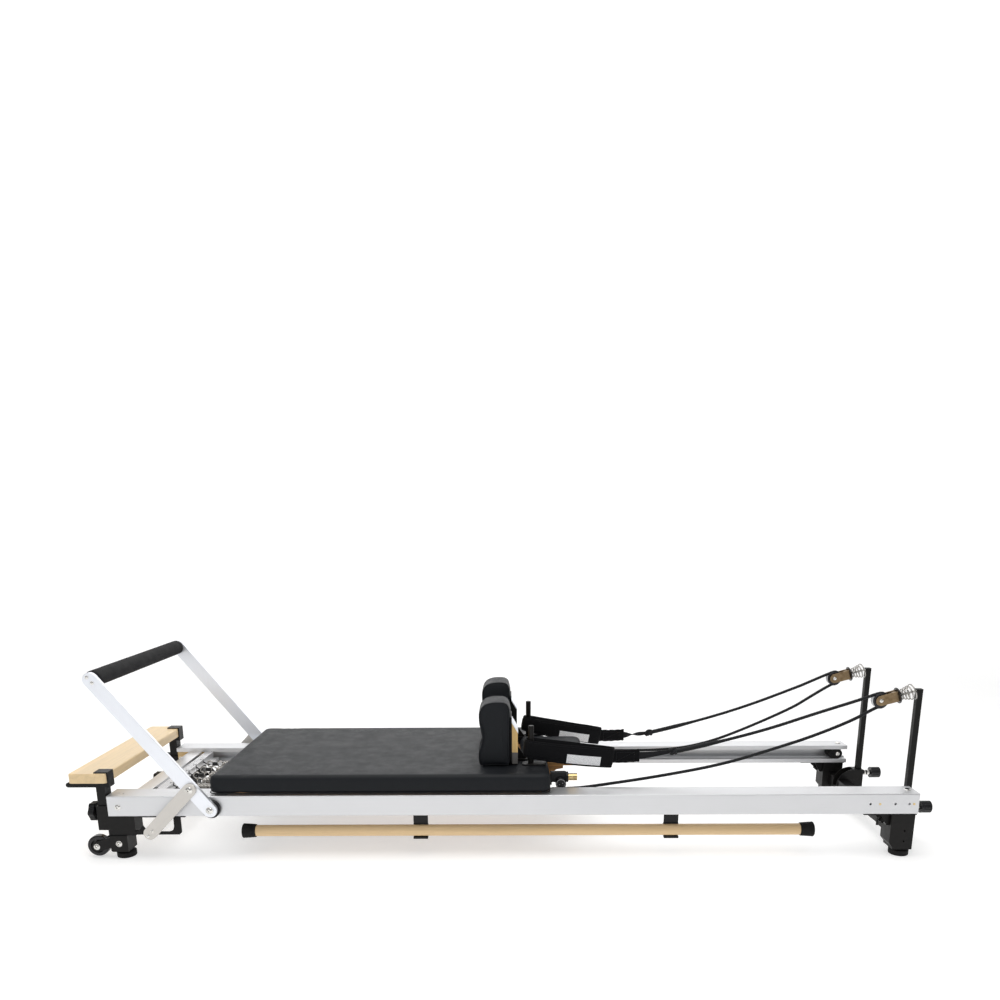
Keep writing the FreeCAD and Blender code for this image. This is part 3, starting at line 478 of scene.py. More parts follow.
def evenly(points, step, closed=False):
    """The same line with points step apart."""
    if closed:
        points = list(points) + [points[0]]
    total = sum((b - a).length for a, b in zip(points, points[1:]))
    count = max(2, round(total / step))
    spacing = total / count
    result, travelled, want = [points[0].copy()], 0.0, spacing
    for a, b in zip(points, points[1:]):
        length = (b - a).length
        while length > 0 and travelled + length >= want - 1e-9 and len(result) < count + 1:
            result.append(a.lerp(b, (want - travelled) / length))
            want += spacing
        travelled += length
    if closed:
        result = result[:count]
    elif len(result) < count + 1:
        result.append(points[-1].copy())
    return result


def frames_of(points, closed=False):
    """Tangent and two square directions at each point, without twist."""
    found, side = [], None
    count = len(points)
    for i, p in enumerate(points):
        if closed:
            tangent = points[(i + 1) % count] - points[i - 1]
        else:
            tangent = points[min(i + 1, count - 1)] - points[max(i - 1, 0)]
        tangent.normalize()
        if side is None:
            side = tangent.orthogonal().normalized()
        side = (side - tangent * side.dot(tangent)).normalized()
        found.append((tangent, side, tangent.cross(side)))
    return found


def tube(name, points, radius, sides=12, closed=False, relief=None):
    """Round tube along points; relief(distance, angle) multiplies its radius."""
    rings, travelled = [], 0.0
    for i, (p, (tangent, side, other)) in enumerate(zip(points, frames_of(points, closed))):
        if i:
            travelled += (p - points[i - 1]).length
        ring = []
        for j in range(sides):
            angle = 2 * math.pi * j / sides
            r = radius if relief is None else radius * relief(travelled, angle)
            ring.append(p + side * (r * math.cos(angle)) + other * (r * math.sin(angle)))
        rings.append(ring)
    return skin(name, rings, closed)


def lathe(name, centre, axis, profile, segments=64):
    """Turned shape: profile is (position along axis, radius) from one end to the other."""
    axis = Vector(axis)
    side = axis.orthogonal().normalized()
    other = axis.cross(side)
    rings = []
    for along, radius in profile:
        ring = []
        for j in range(segments):
            angle = 2 * math.pi * j / segments
            reach = side * (radius * math.cos(angle)) + other * (radius * math.sin(angle))
            ring.append(centre + axis * along + reach)
        rings.append(ring)
    return skin(name, rings)


def offset_outline(outline, inset):
    """Closed 2D outline moved inwards; it runs anticlockwise."""
    moved = []
    for i, p in enumerate(outline):
        before, after = outline[i - 1], outline[(i + 1) % len(outline)]
        direction = (Vector(after) - Vector(before)).normalized()
        inward = Vector((-direction.y, direction.x))
        moved.append(Vector(p) + inward * inset)
    return moved


ARC_STEPS = 8


def rounded_outline(corners):
    """2D outline through (x, y, radius) corners, each rounded by an arc."""
    outline = []
    for i, (x, y, radius) in enumerate(corners):
        here = Vector((x, y))
        before = (Vector(corners[i - 1][:2]) - here).normalized()
        after = (Vector(corners[(i + 1) % len(corners)][:2]) - here).normalized()
        half = before.angle(after) / 2
        reach = radius / math.tan(half)
        centre = here + (before + after).normalized() * (radius / math.sin(half))
        first = here + before * reach - centre
        second = here + after * reach - centre
        turn = first.angle_signed(second)
        for k in range(ARC_STEPS + 1):
            spin = Matrix.Rotation(-turn * k / ARC_STEPS, 2)
            outline.append(centre + spin @ first)
    return outline


def pillow_start(name, outline, profile, to_space):
    """Closed prism: profile is (inset, height) pairs, to_space turns (u, v, height) into a point."""
    rings = []
    for inset, height in profile:
        rings.append([to_space(p.x, p.y, height) for p in offset_outline(outline, inset)])
    obj = skin(name, rings)
    edit = bmesh.new()
    edit.from_mesh(obj.data)
    bmesh.ops.triangulate(edit, faces=[f for f in edit.faces if len(f.verts) > 4])
    edit.to_mesh(obj.data)
    edit.free()
    return obj


CLOTH_FRAMES = 20


def inflate(obj, voxel, pressure, cap):
    """Remeshes a closed shape and puffs it as cloth over stuffing, keeping each point within cap."""
    remesh = obj.modifiers.new("Remesh", "REMESH")
    remesh.mode = "VOXEL"
    remesh.voxel_size = voxel
    soften(obj, 4)
    rest = [v.co.copy() for v in obj.data.vertices]
    cloth = obj.modifiers.new("Cloth", "CLOTH")
    cloth.settings.use_pressure = True
    cloth.settings.uniform_pressure_force = pressure
    cloth.settings.effector_weights.gravity = 0
    cloth.settings.quality = 4
    cloth.settings.tension_stiffness = 20
    cloth.settings.compression_stiffness = 20
    cloth.settings.bending_stiffness = 2
    cloth.point_cache.frame_start = 1
    cloth.point_cache.frame_end = CLOTH_FRAMES
    scene = bpy.context.scene
    for step in range(1, CLOTH_FRAMES + 1):
        scene.frame_set(step)
    depsgraph = bpy.context.evaluated_depsgraph_get()
    moved = [v.co.copy() for v in obj.evaluated_get(depsgraph).data.vertices]
    obj.modifiers.clear()
    scene.frame_set(1)
    for vertex, start, end in zip(obj.data.vertices, rest, moved):
        shift = end - start
        if shift.length > cap:
            shift *= cap / shift.length
        vertex.co = start + shift


def soften(obj, iterations):
    smooth = obj.modifiers.new("Smooth", "SMOOTH")
    smooth.factor = 0.5
    smooth.iterations = iterations
    apply_modifiers(obj)


def surface_of(obj):
    """Nearest-point lookup on a mesh."""
    edit = bmesh.new()
    edit.from_mesh(obj.data)
    tree = BVHTree.FromBMesh(edit)
    edit.free()
    return tree


def snapped(points, tree, lift):
    """Points moved onto a surface and lifted off it."""
    result = []
    for p in points:
        place, normal, _, _ = tree.find_nearest(p)
        result.append(place + normal * lift)
    return result


STITCH, STITCH_GAP, THREAD = 0.0034, 0.0016, 0.00055


def stitch_row(name, points, normals):
    """Row of short raised threads along a line, one mesh."""
    stitches = []
    marks = evenly(points, (STITCH + STITCH_GAP) / 2)
    for i in range(0, len(marks) - 1, 2):
        a, b = marks[i], marks[i + 1]
        lift = normals[min(len(normals) - 1, round(i / len(marks) * (len(normals) - 1)))]
        middle = a.lerp(b, 0.5) + lift * (THREAD * 0.7)
        stitches.append(tube("stitch", [a - lift * THREAD, middle, b - lift * THREAD], THREAD, sides=5))
    return join(name, stitches)


def beside(side):
    """Turns an outline's (x, z) and a distance from the middle plane into a point."""
    return lambda x, z, y: at(x, side * y, z)


def circle(centre, radius, count):
    """Points round a circle in an upright plane along X; radius in mm."""
    turns = [2 * math.pi * k / count for k in range(count)]
    return [centre + Vector((math.cos(a), 0, math.sin(a))) * (radius * MM) for a in turns]


def corners_of(low, high):
    """Outline of a rectangle between two (u, v) corners."""
    (a, b), (c, d) = low, high
    return [Vector((a, b)), Vector((c, b)), Vector((c, d)), Vector((a, d))]


# ---- upholstery
PAD_CORNERS = [
    (-860, -287, 22), (114, -287, 22), (114, -120, 9), (20, -120, 12),
    (20, 120, 12), (114, 120, 9), (114, 287, 22), (-860, 287, 22),
]
PAD_EDGE = [
    (12, 195.2), (4, 195.4), (1.4, 198), (0.3, 206), (0, 220), (0.2, 232), (1.6, 239.5), (4, 243.4),
    (9, 245.4),
]
PAD_TOP = 0.2471
HEM_Z = 196.6
REST_OUTLINE = [
    (-88, 249), (-60, 248.6), (-30, 248.6), (-2, 249), (-1.5, 300), (-1.5, 360), (-1.5, 415), (-5, 429),
    (-14, 436.5), (-30, 439), (-55, 438), (-74, 432), (-86, 420), (-91.5, 404), (-90.5, 380), (-85, 355),
    (-82.5, 335), (-85.5, 318), (-92.5, 290), (-93.5, 270), (-90.5, 256),
]
REST_ACROSS = [(8, 98.6), (3, 100.0), (0.6, 103.5), (0, 110), (0, 189), (0.6, 195.5), (3, 199), (8, 200.4)]
HEADREST_CORNERS = [(30, -110, 25), (228, -110, 25), (228, 110, 25), (30, 110, 25)]
HEADREST_EDGE = [(6, 232.4), (1.6, 234), (0, 240), (0.4, 247), (3, 253), (8, 257), (14, 258.6)]


def carriage_pad(mat):
    """Long padded deck with a bay for the headrest, vinyl pulled round its edges."""
    outline = rounded_outline(PAD_CORNERS)
    pad = pillow_start("carriage_upholstery", outline, PAD_EDGE, at)
    inflate(pad, voxel=0.005, pressure=3.0, cap=0.0028)
    for vertex in pad.data.vertices:
        vertex.co.z = min(vertex.co.z, PAD_TOP)
    soften(pad, 2)
    dress(pad, mat, "carriage", 60)
    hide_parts("carriage_pad")


def carriage_hem(mat):
    """Folded hem where the vinyl turns under the deck."""
    outline = offset_outline(rounded_outline(PAD_CORNERS), 2.0)
    line = evenly([at(p.x, p.y, HEM_Z) for p in outline], 0.006, closed=True)
    hem = tube("carriage_hem", line, 0.0016, sides=8, closed=True)
    dress(hem, mat, "carriage")


def piping(name, line, tree, lift, radius, mat, body):
    """Piped seam laid on a cushion along a closed line."""
    seam = tube(name, snapped(line, tree, lift), radius, sides=10, closed=True)
    dress(seam, mat, body)


def shoulder_pad(side, name, mat):
    """Block with a waisted front, boxed by two side panels with piped seams."""
    to_space = beside(side)
    outline = [Vector(p) for p in REST_OUTLINE]
    pad = pillow_start("shoulder_upholstery_" + name, outline, REST_ACROSS, to_space)
    inflate(pad, voxel=0.004, pressure=3.0, cap=0.0022)
    soften(pad, 2)
    tree = surface_of(pad)
    for edge, y in (("inner", 101.2), ("outer", 197.8)):
        rough = [to_space(p.x, p.y, y) for p in offset_outline(outline, 1.4)]
        line = evenly(spline(rough, closed=True), 0.004, closed=True)
        seam_name = f"shoulder_piping_{name}_{edge}"
        piping(seam_name, line, tree, 0.0004, 0.0019, mat, "shoulder_rest_" + name)
    dress(pad, mat, "shoulder_rest_" + name, 60)
    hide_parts("shoulder_pad_" + name)


def headrest_pad(mat):
    outline = rounded_outline(HEADREST_CORNERS)
    pad = pillow_start("headrest_upholstery", outline, HEADREST_EDGE, at)
    inflate(pad, voxel=0.004, pressure=3.0, cap=0.0025)
    soften(pad, 2)
    line = evenly([at(p.x, p.y, 238.0) for p in outline], 0.005, closed=True)
    piping("headrest_piping", line, surface_of(pad), 0.0005, 0.0017, mat, "headrest")
    dress(pad, mat, "headrest", 60)
    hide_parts("headrest_pad")


def foam_grip(mat):
    """Foam sleeve with soft ends and the slight unevenness of cut foam."""
    low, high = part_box("footbar_grip")
    centre = Vector(((low.x + high.x) / 2, low.y, (low.z + high.z) / 2))
    length, radius = high.y - low.y, (high.z - low.z) / 2
    skin_radius, end, count = radius - 0.0003, 0.004, 60
    profile = [(0.0, radius * 0.7), (0.0004, radius - 0.0045), (0.0014, radius - 0.0016), (end, skin_radius)]
    middle = []
    for i in range(1, count):
        share = i / count
        wave = 0.00025 * noise.noise(Vector((share * 14, 0.3, 0.7)))
        middle.append((end + (length - 2 * end) * share, skin_radius + wave))
    profile += middle + [(length - p, r) for p, r in reversed(profile)]
    grip = lathe("foam_grip", centre, (0, 1, 0), profile, 72)
    dress(grip, mat, "footbar", 50)
    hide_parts("footbar_grip")


# ---- hand straps
STRAP = {
    NEAR: {
        "droop": 7.2, "centre": 296.0, "heights": (50, 57, 58), "tab": (268.0, 270.0),
        "knot": (478.0, 282.0), "tail": (-0.6, 0, 0.8), "twist": 0.0,
    },
    FAR: {
        "droop": 10.4, "centre": 288.0, "heights": (44, 50, 54), "tab": (243.0, 245.0),
        "knot": (463.0, 252.0), "tail": (-0.5, 0, -0.85), "twist": math.pi,
    },
}
POST_X, POST_Y = 60.0, 167.0
LOOP = [
    (252, 5.5), (240, 9.5), (204, 14.5), (140, 19.0), (72, 21.5), (22, 21.0), (-3, 15.5), (-9, 0.0),
    (-3, -15.5), (22, -21.0), (72, -21.5), (140, -19.0), (204, -14.5), (240, -9.5), (252, -5.5),
]
LOOP_LENGTH = 252.0
BAND_THICK = 9.5
LABEL = (112.0, 219.0)  # mm from the post end of the loop
LABEL_HALF = 13.5
LABEL_DROP = 11.0
TAB_X = (297.0, 375.0)
TAB_HALF = (19.5, 18.5)
RIBBON_HALF = 11.0
KNOT_STEPS = 120


def strap_frame(side):
    """Origin, run, across and up directions of a hanging strap."""
    facts = STRAP[side]
    droop = math.radians(facts["droop"])
    run = Vector((math.cos(droop), 0, -math.sin(droop)))
    up = Vector((math.sin(droop), 0, math.cos(droop)))
    return at(50, side * POST_Y, facts["centre"]), run, Vector((0, 1, 0)), up


def band_path(side):
    origin, run, across, up = strap_frame(side)
    control = []
    for u, v in LOOP:
        sag = -2.5 * math.sin(math.pi * max(0.0, u) / LOOP_LENGTH)
        control.append(origin + (run * u + across * v + up * sag) * MM)
    return evenly(spline(control, closed=True), 0.004, closed=True)


def band_frames(side, path):
    """Place, outward and up directions, height and thickness of the loop at each point of its path."""
    origin, run, _, up = strap_frame(side)
    start, middle, tip = STRAP[side]["heights"]
    found, count = [], len(path)
    for i, p in enumerate(path):
        tangent = (path[(i + 1) % count] - path[i - 1]).normalized()
        outward = tangent.cross(up).normalized()
        u = (p - origin).dot(run) / MM
        if outward.dot(p - (origin + run * 0.1)) < 0:
            outward = -outward
        share = min(1.0, max(0.0, u / LOOP_LENGTH))
        if share < 0.5:
            height = start + (middle - start) * share * 2
        else:
            height = middle + (tip - middle) * (share * 2 - 1)
        thick = BAND_THICK * (1.0 - 0.3 * share**3)
        crumple = noise.noise(p * 30.0) * 0.9
        found.append((p, outward, up, height + crumple, thick + 0.5 * crumple))
    return found


def band_point(frame_here, lift, height_share, outer):
    """Point on a band's padded face; height_share runs from -1 at the lower edge to 1."""
    p, outward, up, height, thick = frame_here
    puff = max(0.0, 1 - abs(height_share) ** 3.2) ** 0.5
    depth = (thick / 2 * puff + lift) * (1 if outer else -1)
    return p + (outward * depth + up * (height / 2 * height_share)) * MM


def strap_loop(side, name, mat):
    path = band_path(side)
    frames = band_frames(side, path)
    across = [-1 + 2 * k / 12 for k in range(13)]
    rings = []
    for here in frames:
        ring = [band_point(here, 0, h, True) for h in across]
        ring += [band_point(here, 0, h, False) for h in reversed(across[1:-1])]
        rings.append(ring)
    loop = skin("strap_loop_" + name, rings, closed=True)
    dress(loop, mat, "carriage", 60)
    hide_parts("straps")
    return frames


def strap_trim(name, frames, binding_mat, thread_mat):
    """Bound edges and stitch rows of a loop."""
    for word, share in (("top", 1.0), ("bottom", -1.0)):
        line = [band_point(here, 0, share * 0.985, True) for here in frames]
        edge = tube(f"strap_binding_{name}_{word}", line, 0.0017, sides=8, closed=True)
        dress(edge, binding_mat, "carriage")
        row = [band_point(here, 0.1, share * 0.84, True) for here in frames]
        stitches = stitch_row(f"strap_stitches_{name}_{word}", row, [here[1] for here in frames])
        dress(stitches, thread_mat, "carriage")


def strap_label(side, name, frames, mat):
    """Blank woven label sewn low on the face nearer the -Y side."""
    origin, run, _, _ = strap_frame(side)
    chosen = []
    for here in frames:
        u = (here[0] - origin).dot(run) / MM
        if here[1].y < -0.5 and LABEL[0] <= u <= LABEL[1]:
            chosen.append((u, here))
    chosen.sort(key=lambda item: item[0])
    rings = []
    for u, here in chosen:
        half_height = here[3] / 2
        rows = [(LABEL_HALF * (k / 4 - 1) - LABEL_DROP) / half_height for k in range(9)]
        front = [band_point(here, 0.75, row, True) for row in rows]
        back = [band_point(here, 0.1, row, True) for row in reversed(rows)]
        rings.append(front + back)
    label = skin("strap_label_" + name, rings)
    dress(label, mat, "carriage", 40)


def webbing_strip(name, line, widths, twists, thick, mat):
    """Flat strip along a line; widths and twists give its half width in mm and its turn at each point."""
    rings = []
    across = Vector((0, 1, 0))
    for i, p in enumerate(line):
        tangent = (line[min(i + 1, len(line) - 1)] - line[max(i - 1, 0)]).normalized()
        rise = tangent.cross(across).normalized()
        if rise.z < 0:
            rise = -rise
        spin = Matrix.Rotation(twists[i], 3, tangent)
        wide, deep = spin @ rise, spin @ across
        ring = []
        for face in (-1, 1):
            for share in (1, 0.5, 0, -0.5, -1):
                reach = face * thick * (1 - 0.35 * abs(share))
                ring.append(p + (wide * (widths[i] * face * share) + deep * reach) * MM)
        rings.append(ring)
    dress(skin(name, rings), mat, "carriage", 50)


def strap_tab(side, name, mat, thread_mat):
    """Stitched tab that closes the loop, with its box of stitches."""
    start_z, end_z = STRAP[side]["tab"]
    start_x, end_x = TAB_X
    wide, narrow = TAB_HALF
    y = side * POST_Y
    line = evenly([at(start_x - 6, y, start_z + 1), at(start_x + 30, y, start_z), at(end_x, y, end_z)], 0.003)
    last = len(line) - 1
    widths = [wide + (narrow - wide) * i / last + 0.5 * math.sin(i * 0.9) for i in range(last + 1)]
    webbing_strip("strap_tab_" + name, line, widths, [0.0] * (last + 1), 4.2, mat)
    hem = evenly([at(end_x, y, end_z - narrow), at(end_x, y, end_z + narrow + 1)], 0.003)
    edge = tube("strap_tab_hem_" + name, hem, 0.0043, sides=10)
    dress(edge, mat, "carriage")
    corners = [(14, -13), (14, 13), (66, 13), (66, -13), (14, -13), (66, 13)]
    for part, pair in enumerate(zip(corners, corners[1:])):
        ends = [at(start_x + u, y - 4.3, start_z + h) for u, h in pair]
        stitches = stitch_row(f"strap_tab_stitches_{name}_{part}", ends, [Vector((0, -1, 0))])
        dress(stitches, thread_mat, "carriage")


def strap_ribbon(side, name, mat):
    """Flat ribbon from the tab to the knot; the far one hangs with a turn in it."""
    end_z = STRAP[side]["tab"][1]
    knot_x, knot_z = STRAP[side]["knot"]
    end_x = TAB_X[1]
    route = [
        (end_x - 4, end_z), (end_x + 20, end_z), ((end_x + knot_x) / 2, (end_z + knot_z) / 2 - 1),
        (knot_x - 18, knot_z - 2), (knot_x - 4, knot_z),
    ]
    line = evenly(spline([at(x, side * POST_Y, z) for x, z in route]), 0.002)
    last = len(line) - 1
    widths = [RIBBON_HALF * (1 - 0.58 * i / last) for i in range(last + 1)]
    turns = [min(1.0, max(0.0, (i / last - 0.1) / 0.75)) for i in range(last + 1)]
    twists = [STRAP[side]["twist"] * turn for turn in turns]
    webbing_strip("strap_ribbon_" + name, line, widths, twists, 1.5, mat)


def knot_part(name, line, radius, sides, mat, closed=False):
    part = tube(name, line, radius, sides=sides, closed=closed, relief=braid_relief)
    dress(part, mat, "carriage", 60)


def rope_knot(side, name, mat):
    """Knot that ties the rope to the ribbon, with a short tail and the lashed start of the rope."""
    knot_x, knot_z = STRAP[side]["knot"]
    centre = at(knot_x, side * POST_Y, knot_z)
    line = []
    for i in range(KNOT_STEPS):
        t = 2 * math.pi * i / KNOT_STEPS
        radial = (2 + math.cos(3 * t)) * 2.3
        along = 7.0 * math.sin(3 * t) + 3.0 * math.sin(2 * t)
        line.append(centre + Vector((along, radial * math.sin(2 * t), radial * math.cos(2 * t))) * MM)
    knot_part("rope_knot_" + name, line, 0.0049, 14, mat, closed=True)
    tail_end = Vector((-0.006, -0.003, 0)) + Vector(STRAP[side]["tail"]) * 0.011
    tail = evenly([centre + Vector((-0.004, -0.002, 0)), centre + tail_end], 0.001)
    knot_part("rope_tail_" + name, tail, 0.0042, 14, mat)
    first_x, first_z = ROUTES[side]["upper"][0]
    start = at(first_x, side * POST_Y, first_z)
    lashing = evenly([centre, start + (start - centre) * 0.3], 0.001)
    knot_part("rope_lashing_" + name, lashing, 0.0066, 18, mat)


# ---- ropes
ROPE_RADIUS = 0.0045
SPLIT = 960.0
PULLEY = (1062.0, 434.0)
PULLEY_Y = 172.0
ROPE_LINE = 20.6
GUIDE_Y = 209.5
GUIDE_X = 146.0
GUIDE_LOW = 182.7
UPPER_DRIFT = 5.0 / 580
LOWER_DRIFT = 37.5 / 900
ROUTES = {
    FAR: {
        "upper": [(478, 256), (576, 279), (767, 335), (954, 408)],
        "lower": [(400, 181), (560, 188), (668, 213), (776, 256), (935, 332)],
    },
    NEAR: {
        "upper": [(493, 284), (584, 304), (745, 347), (885, 396), (1006, 435)],
        "lower": [(261, 192), (416, 213), (610, 247), (745, 287), (888, 333), (1000, 381)],
    },
}
WRAP_ANGLES = (70, 40, 10, -20, -50, -75)


def braid_relief(distance, angle):
    """Crossing strands of a plaited rope, as a share of its radius."""
    turn = 2 * math.pi * distance / 0.017
    one = math.sin(5 * angle + turn)
    other = math.sin(5 * angle - turn)
    return 0.98 + 0.06 * max(one, other)


def rope_points(side, run):
    """Whole control points of a run, up to the top or underside of the pulley, as row-frame points."""
    x, z = PULLEY
    route = list(ROUTES[side][run])
    if run == "upper":
        route.append((x - 7.0, z + ROPE_LINE - 1.0))
        return [at(px, side * (PULLEY_Y - UPPER_DRIFT * (x - px)), pz) for px, pz in route]
    route = [(120, GUIDE_LOW), (GUIDE_X, GUIDE_LOW), (200, GUIDE_LOW + 1.5)] + route
    route.append((x - 6.0, z - ROPE_LINE + 1.0))
    return [at(px, side * min(GUIDE_Y, PULLEY_Y + LOWER_DRIFT * (x - px)), pz) for px, pz in route]


def cut_at(points, x_split):
    """Control points before and after the plane X = x_split, sharing the crossing point."""
    for i, (a, b) in enumerate(zip(points, points[1:])):
        if (a.x - x_split) * (b.x - x_split) <= 0:
            crossing = a.lerp(b, (x_split - a.x) / (b.x - a.x))
            return points[: i + 1] + [crossing], [crossing] + points[i + 1 :]
    return points, []


SPLICE = 0.14  # length of the turned-back end, in metres


def splice_relief(distance, angle):
    """Braid that starts out thicker, where the rope's end is turned back and lashed along it."""
    left = max(0.0, 1 - distance / SPLICE)
    return braid_relief(distance, angle) * (1 + 0.46 * min(1.0, left * 2.2))


def rope_run(side, name, run, mat):
    """Run between the carriage and the pulley."""
    control, _ = cut_at(rope_points(side, run), at(SPLIT, 0, 0).x)
    line = evenly(spline(control), 0.0016)
    relief = splice_relief if run == "upper" else braid_relief
    rope = tube(f"rope_{run}_{name}", line, ROPE_RADIUS, sides=20, relief=relief)
    dress(rope, mat, "frame", 80)
    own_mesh(rope)
    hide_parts("ropes")


def rope_turn(side, name, mat):
    """The part of the rope that goes round the pulley."""
    x_split = at(SPLIT, 0, 0).x
    _, into = cut_at(rope_points(side, "upper"), x_split)
    _, out = cut_at(rope_points(side, "lower"), x_split)
    x, z = PULLEY
    reach = ROPE_LINE + 1.6
    around = []
    for a in map(math.radians, WRAP_ANGLES):
        around.append(at(x + reach * math.cos(a), side * PULLEY_Y, z + reach * math.sin(a)))
    line = evenly(spline(into + around + out[::-1]), 0.0014)
    rope = tube("rope_turn_" + name, line, ROPE_RADIUS, sides=20, relief=braid_relief)
    dress(rope, mat, None, 80)
    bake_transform(rope)
    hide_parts("rope_turns")


# ---- springs
SPRING_ROWS = (-124.0, -62.0, 0.0, 62.0, 124.0)
SPRING_Z = 160.0
SPRING_ENDS = (-1008.0, -640.0)
HOOK_REACH = 48.0  # mm from the bar to the first coil
COIL_RADIUS, COIL_PITCH, COIL_STEPS = 12.2, 4.3, 14
COIL_WIRE, HOOK_WIRE, LOOP_WIRE = 0.00175, 0.0019, 0.0024
LOOP_RADIUS = 9.5


def spring_coil(index, y, mat):
    """Close-wound extension spring with coned ends."""
    start, end = SPRING_ENDS[0] + HOOK_REACH, SPRING_ENDS[1] - 5
    turns = (end - start) / COIL_PITCH
    line = []
    for i in range(int(turns * COIL_STEPS) + 1):
        x = start + (end - start) * i / (turns * COIL_STEPS)
        radius = COIL_RADIUS * min(1.0, 0.3 + (x - start) / 14, 0.3 + (end - x) / 12)
        a = 2 * math.pi * i / COIL_STEPS
        line.append(at(x, y + radius * math.cos(a), SPRING_Z + radius * math.sin(a)))
    coil = tube(f"spring_coil_{index}", line, COIL_WIRE, sides=7)
    dress(coil, mat, None, 80)
    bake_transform(coil)
    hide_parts("springs")


def spring_ends(index, y, mat, hook_mat):
    """Hook over the bar, two wire loops with a sleeve between them, and the eye on the carriage."""
    bar, carriage = SPRING_ENDS
    for word, x in (("bar", bar + 7), ("coil", bar + 40)):
        ring = circle(at(x, y, SPRING_Z + 2), LOOP_RADIUS, 28)
        loop = tube(f"spring_loop_{word}_{index}", ring, LOOP_WIRE, sides=10, closed=True)
        dress(loop, mat, "frame")
    body = millimetres([(0, 2), (0, 5.2), (2, 6.4), (15, 6.4), (17, 5.2), (17, 2)])
    sleeve = lathe(f"spring_sleeve_{index}", at(bar + 15, y, SPRING_Z + 2), (1, 0, 0), body, 24)
    dress(sleeve, hook_mat, "frame", 30)
    bend = [(6, 0), (-8, 3), (-16, 10.5), (-26, 12), (-28.5, 4), (-22, 0.5)]
    hook_line = evenly(spline([at(bar + x, y, SPRING_Z + z) for x, z in bend]), 0.0022)
    hook = tube(f"spring_hook_{index}", hook_line, HOOK_WIRE, sides=10)
    dress(hook, hook_mat, "frame")
    catch = [(-8, 3), (-4, 0), (6, 0)]
    eye_line = evenly(spline([at(carriage + x, y, SPRING_Z + z) for x, z in catch]), 0.0015)
    eye = tube(f"spring_eye_{index}", eye_line, HOOK_WIRE, sides=10)
    dress(eye, hook_mat, "carriage")


# ---- pulleys, rollers and small metalwork
PULLEY_TILT = math.radians(15.0)
CHEEK = 15.0  # half width of the pulley's plates
CHEEK_END = 49.6
CONE_TURNS, CONE_STEPS = 4.7, 40
ROLLER_Z = 199.0
RING_FACE = 6.4
SCREW_SLOT = 0.0062
BOARD_SIDES = (111.4, 186.8)  # inner and outer side of a shoulder board


def tilted(along, y, up):
    """Point beside the pulley axle, measured along and across the pulley's hanging angle."""
    x = PULLEY[0] + along * math.cos(PULLEY_TILT) - up * math.sin(PULLEY_TILT)
    z = PULLEY[1] + along * math.sin(PULLEY_TILT) + up * math.cos(PULLEY_TILT)
    return at(x, y, z)


def millimetres(profile):
    return [(along * MM, radius * MM) for along, radius in profile]


def mirrored(profile):
    """Half a profile, followed by its mirror image."""
    return profile + [(-along, radius) for along, radius in reversed(profile[:-1])]


def pulley_plates(side, name, mat):
    """Two cheek plates joined by a yoke."""
    y = side * PULLEY_Y
    outline = [Vector((CHEEK_END, -CHEEK)), Vector((CHEEK_END, CHEEK))]
    for k in range(13):
        a = math.pi / 2 + math.pi * k / 12
        outline.append(Vector((CHEEK * math.cos(a), CHEEK * math.sin(a))))
    edge = [(0.5, 10.0), (0, 10.5), (0, 11.5), (0.5, 12.0)]
    pieces = []
    for way in (-1, 1):
        pieces.append(pillow_start("cheek", outline, edge, lambda u, v, h: tilted(u, y + way * h, v)))
    block = corners_of((36, -13), (CHEEK_END, 13))
    pieces.append(pillow_start("yoke", block, [(0, -10), (0, 10)], lambda u, v, h: tilted(u, y + h, v)))
    plates = join("pulley_plates_" + name, pieces)
    dress(plates, mat, "risers", 30)
    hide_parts("pulley_block_" + name)


def pulley_screws(side, name, mat):
    head = millimetres([(-0.5, 5.4), (0.9, 5.4), (1.7, 4.6), (2.2, 3.0), (2.3, 1.7), (1.2, 1.5), (1.2, 0.2)])
    for word, way in (("near", -1), ("far", 1)):
        centre = tilted(0, side * PULLEY_Y + way * 12, 0)
        screw = lathe(f"pulley_screw_{name}_{word}", centre, (0, way, 0), head, 32)
        dress(screw, mat, "risers", 30)


def pulley_hanger(side, name, bright, black, wire):
    """Thrust disc, threaded stem and the cone spring behind the disc."""
    y = side * PULLEY_Y
    along = Vector((math.cos(PULLEY_TILT), 0, math.sin(PULLEY_TILT)))
    rim = millimetres([(0, 3), (0, 22.6), (0.8, 23.5), (2.7, 23.5), (3.5, 22.6), (3.5, 3)])
    disc = lathe("pulley_disc_" + name, tilted(50, y, 0), along, rim)
    dress(disc, black, "risers", 30)
    thread = []
    for k in range(42):
        thread += [(k * 1.25, 3.5), (k * 1.25 + 0.62, 4.1)]
    stem = lathe("pulley_stem_" + name, tilted(52, y, 0), along, millimetres(thread), 24)
    dress(stem, bright, "risers", 80)
    steps, line = CONE_TURNS * CONE_STEPS, []
    for i in range(int(steps) + 1):
        a = 2 * math.pi * i / CONE_STEPS
        radius = 12.2 + 11.2 * i / steps
        line.append(tilted(56 + 39.5 * i / steps, y + radius * math.cos(a), radius * math.sin(a)))
    spring = tube("pulley_spring_" + name, line, HOOK_WIRE, sides=10)
    dress(spring, wire, "risers", 80)
    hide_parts("pulley_block_" + name)


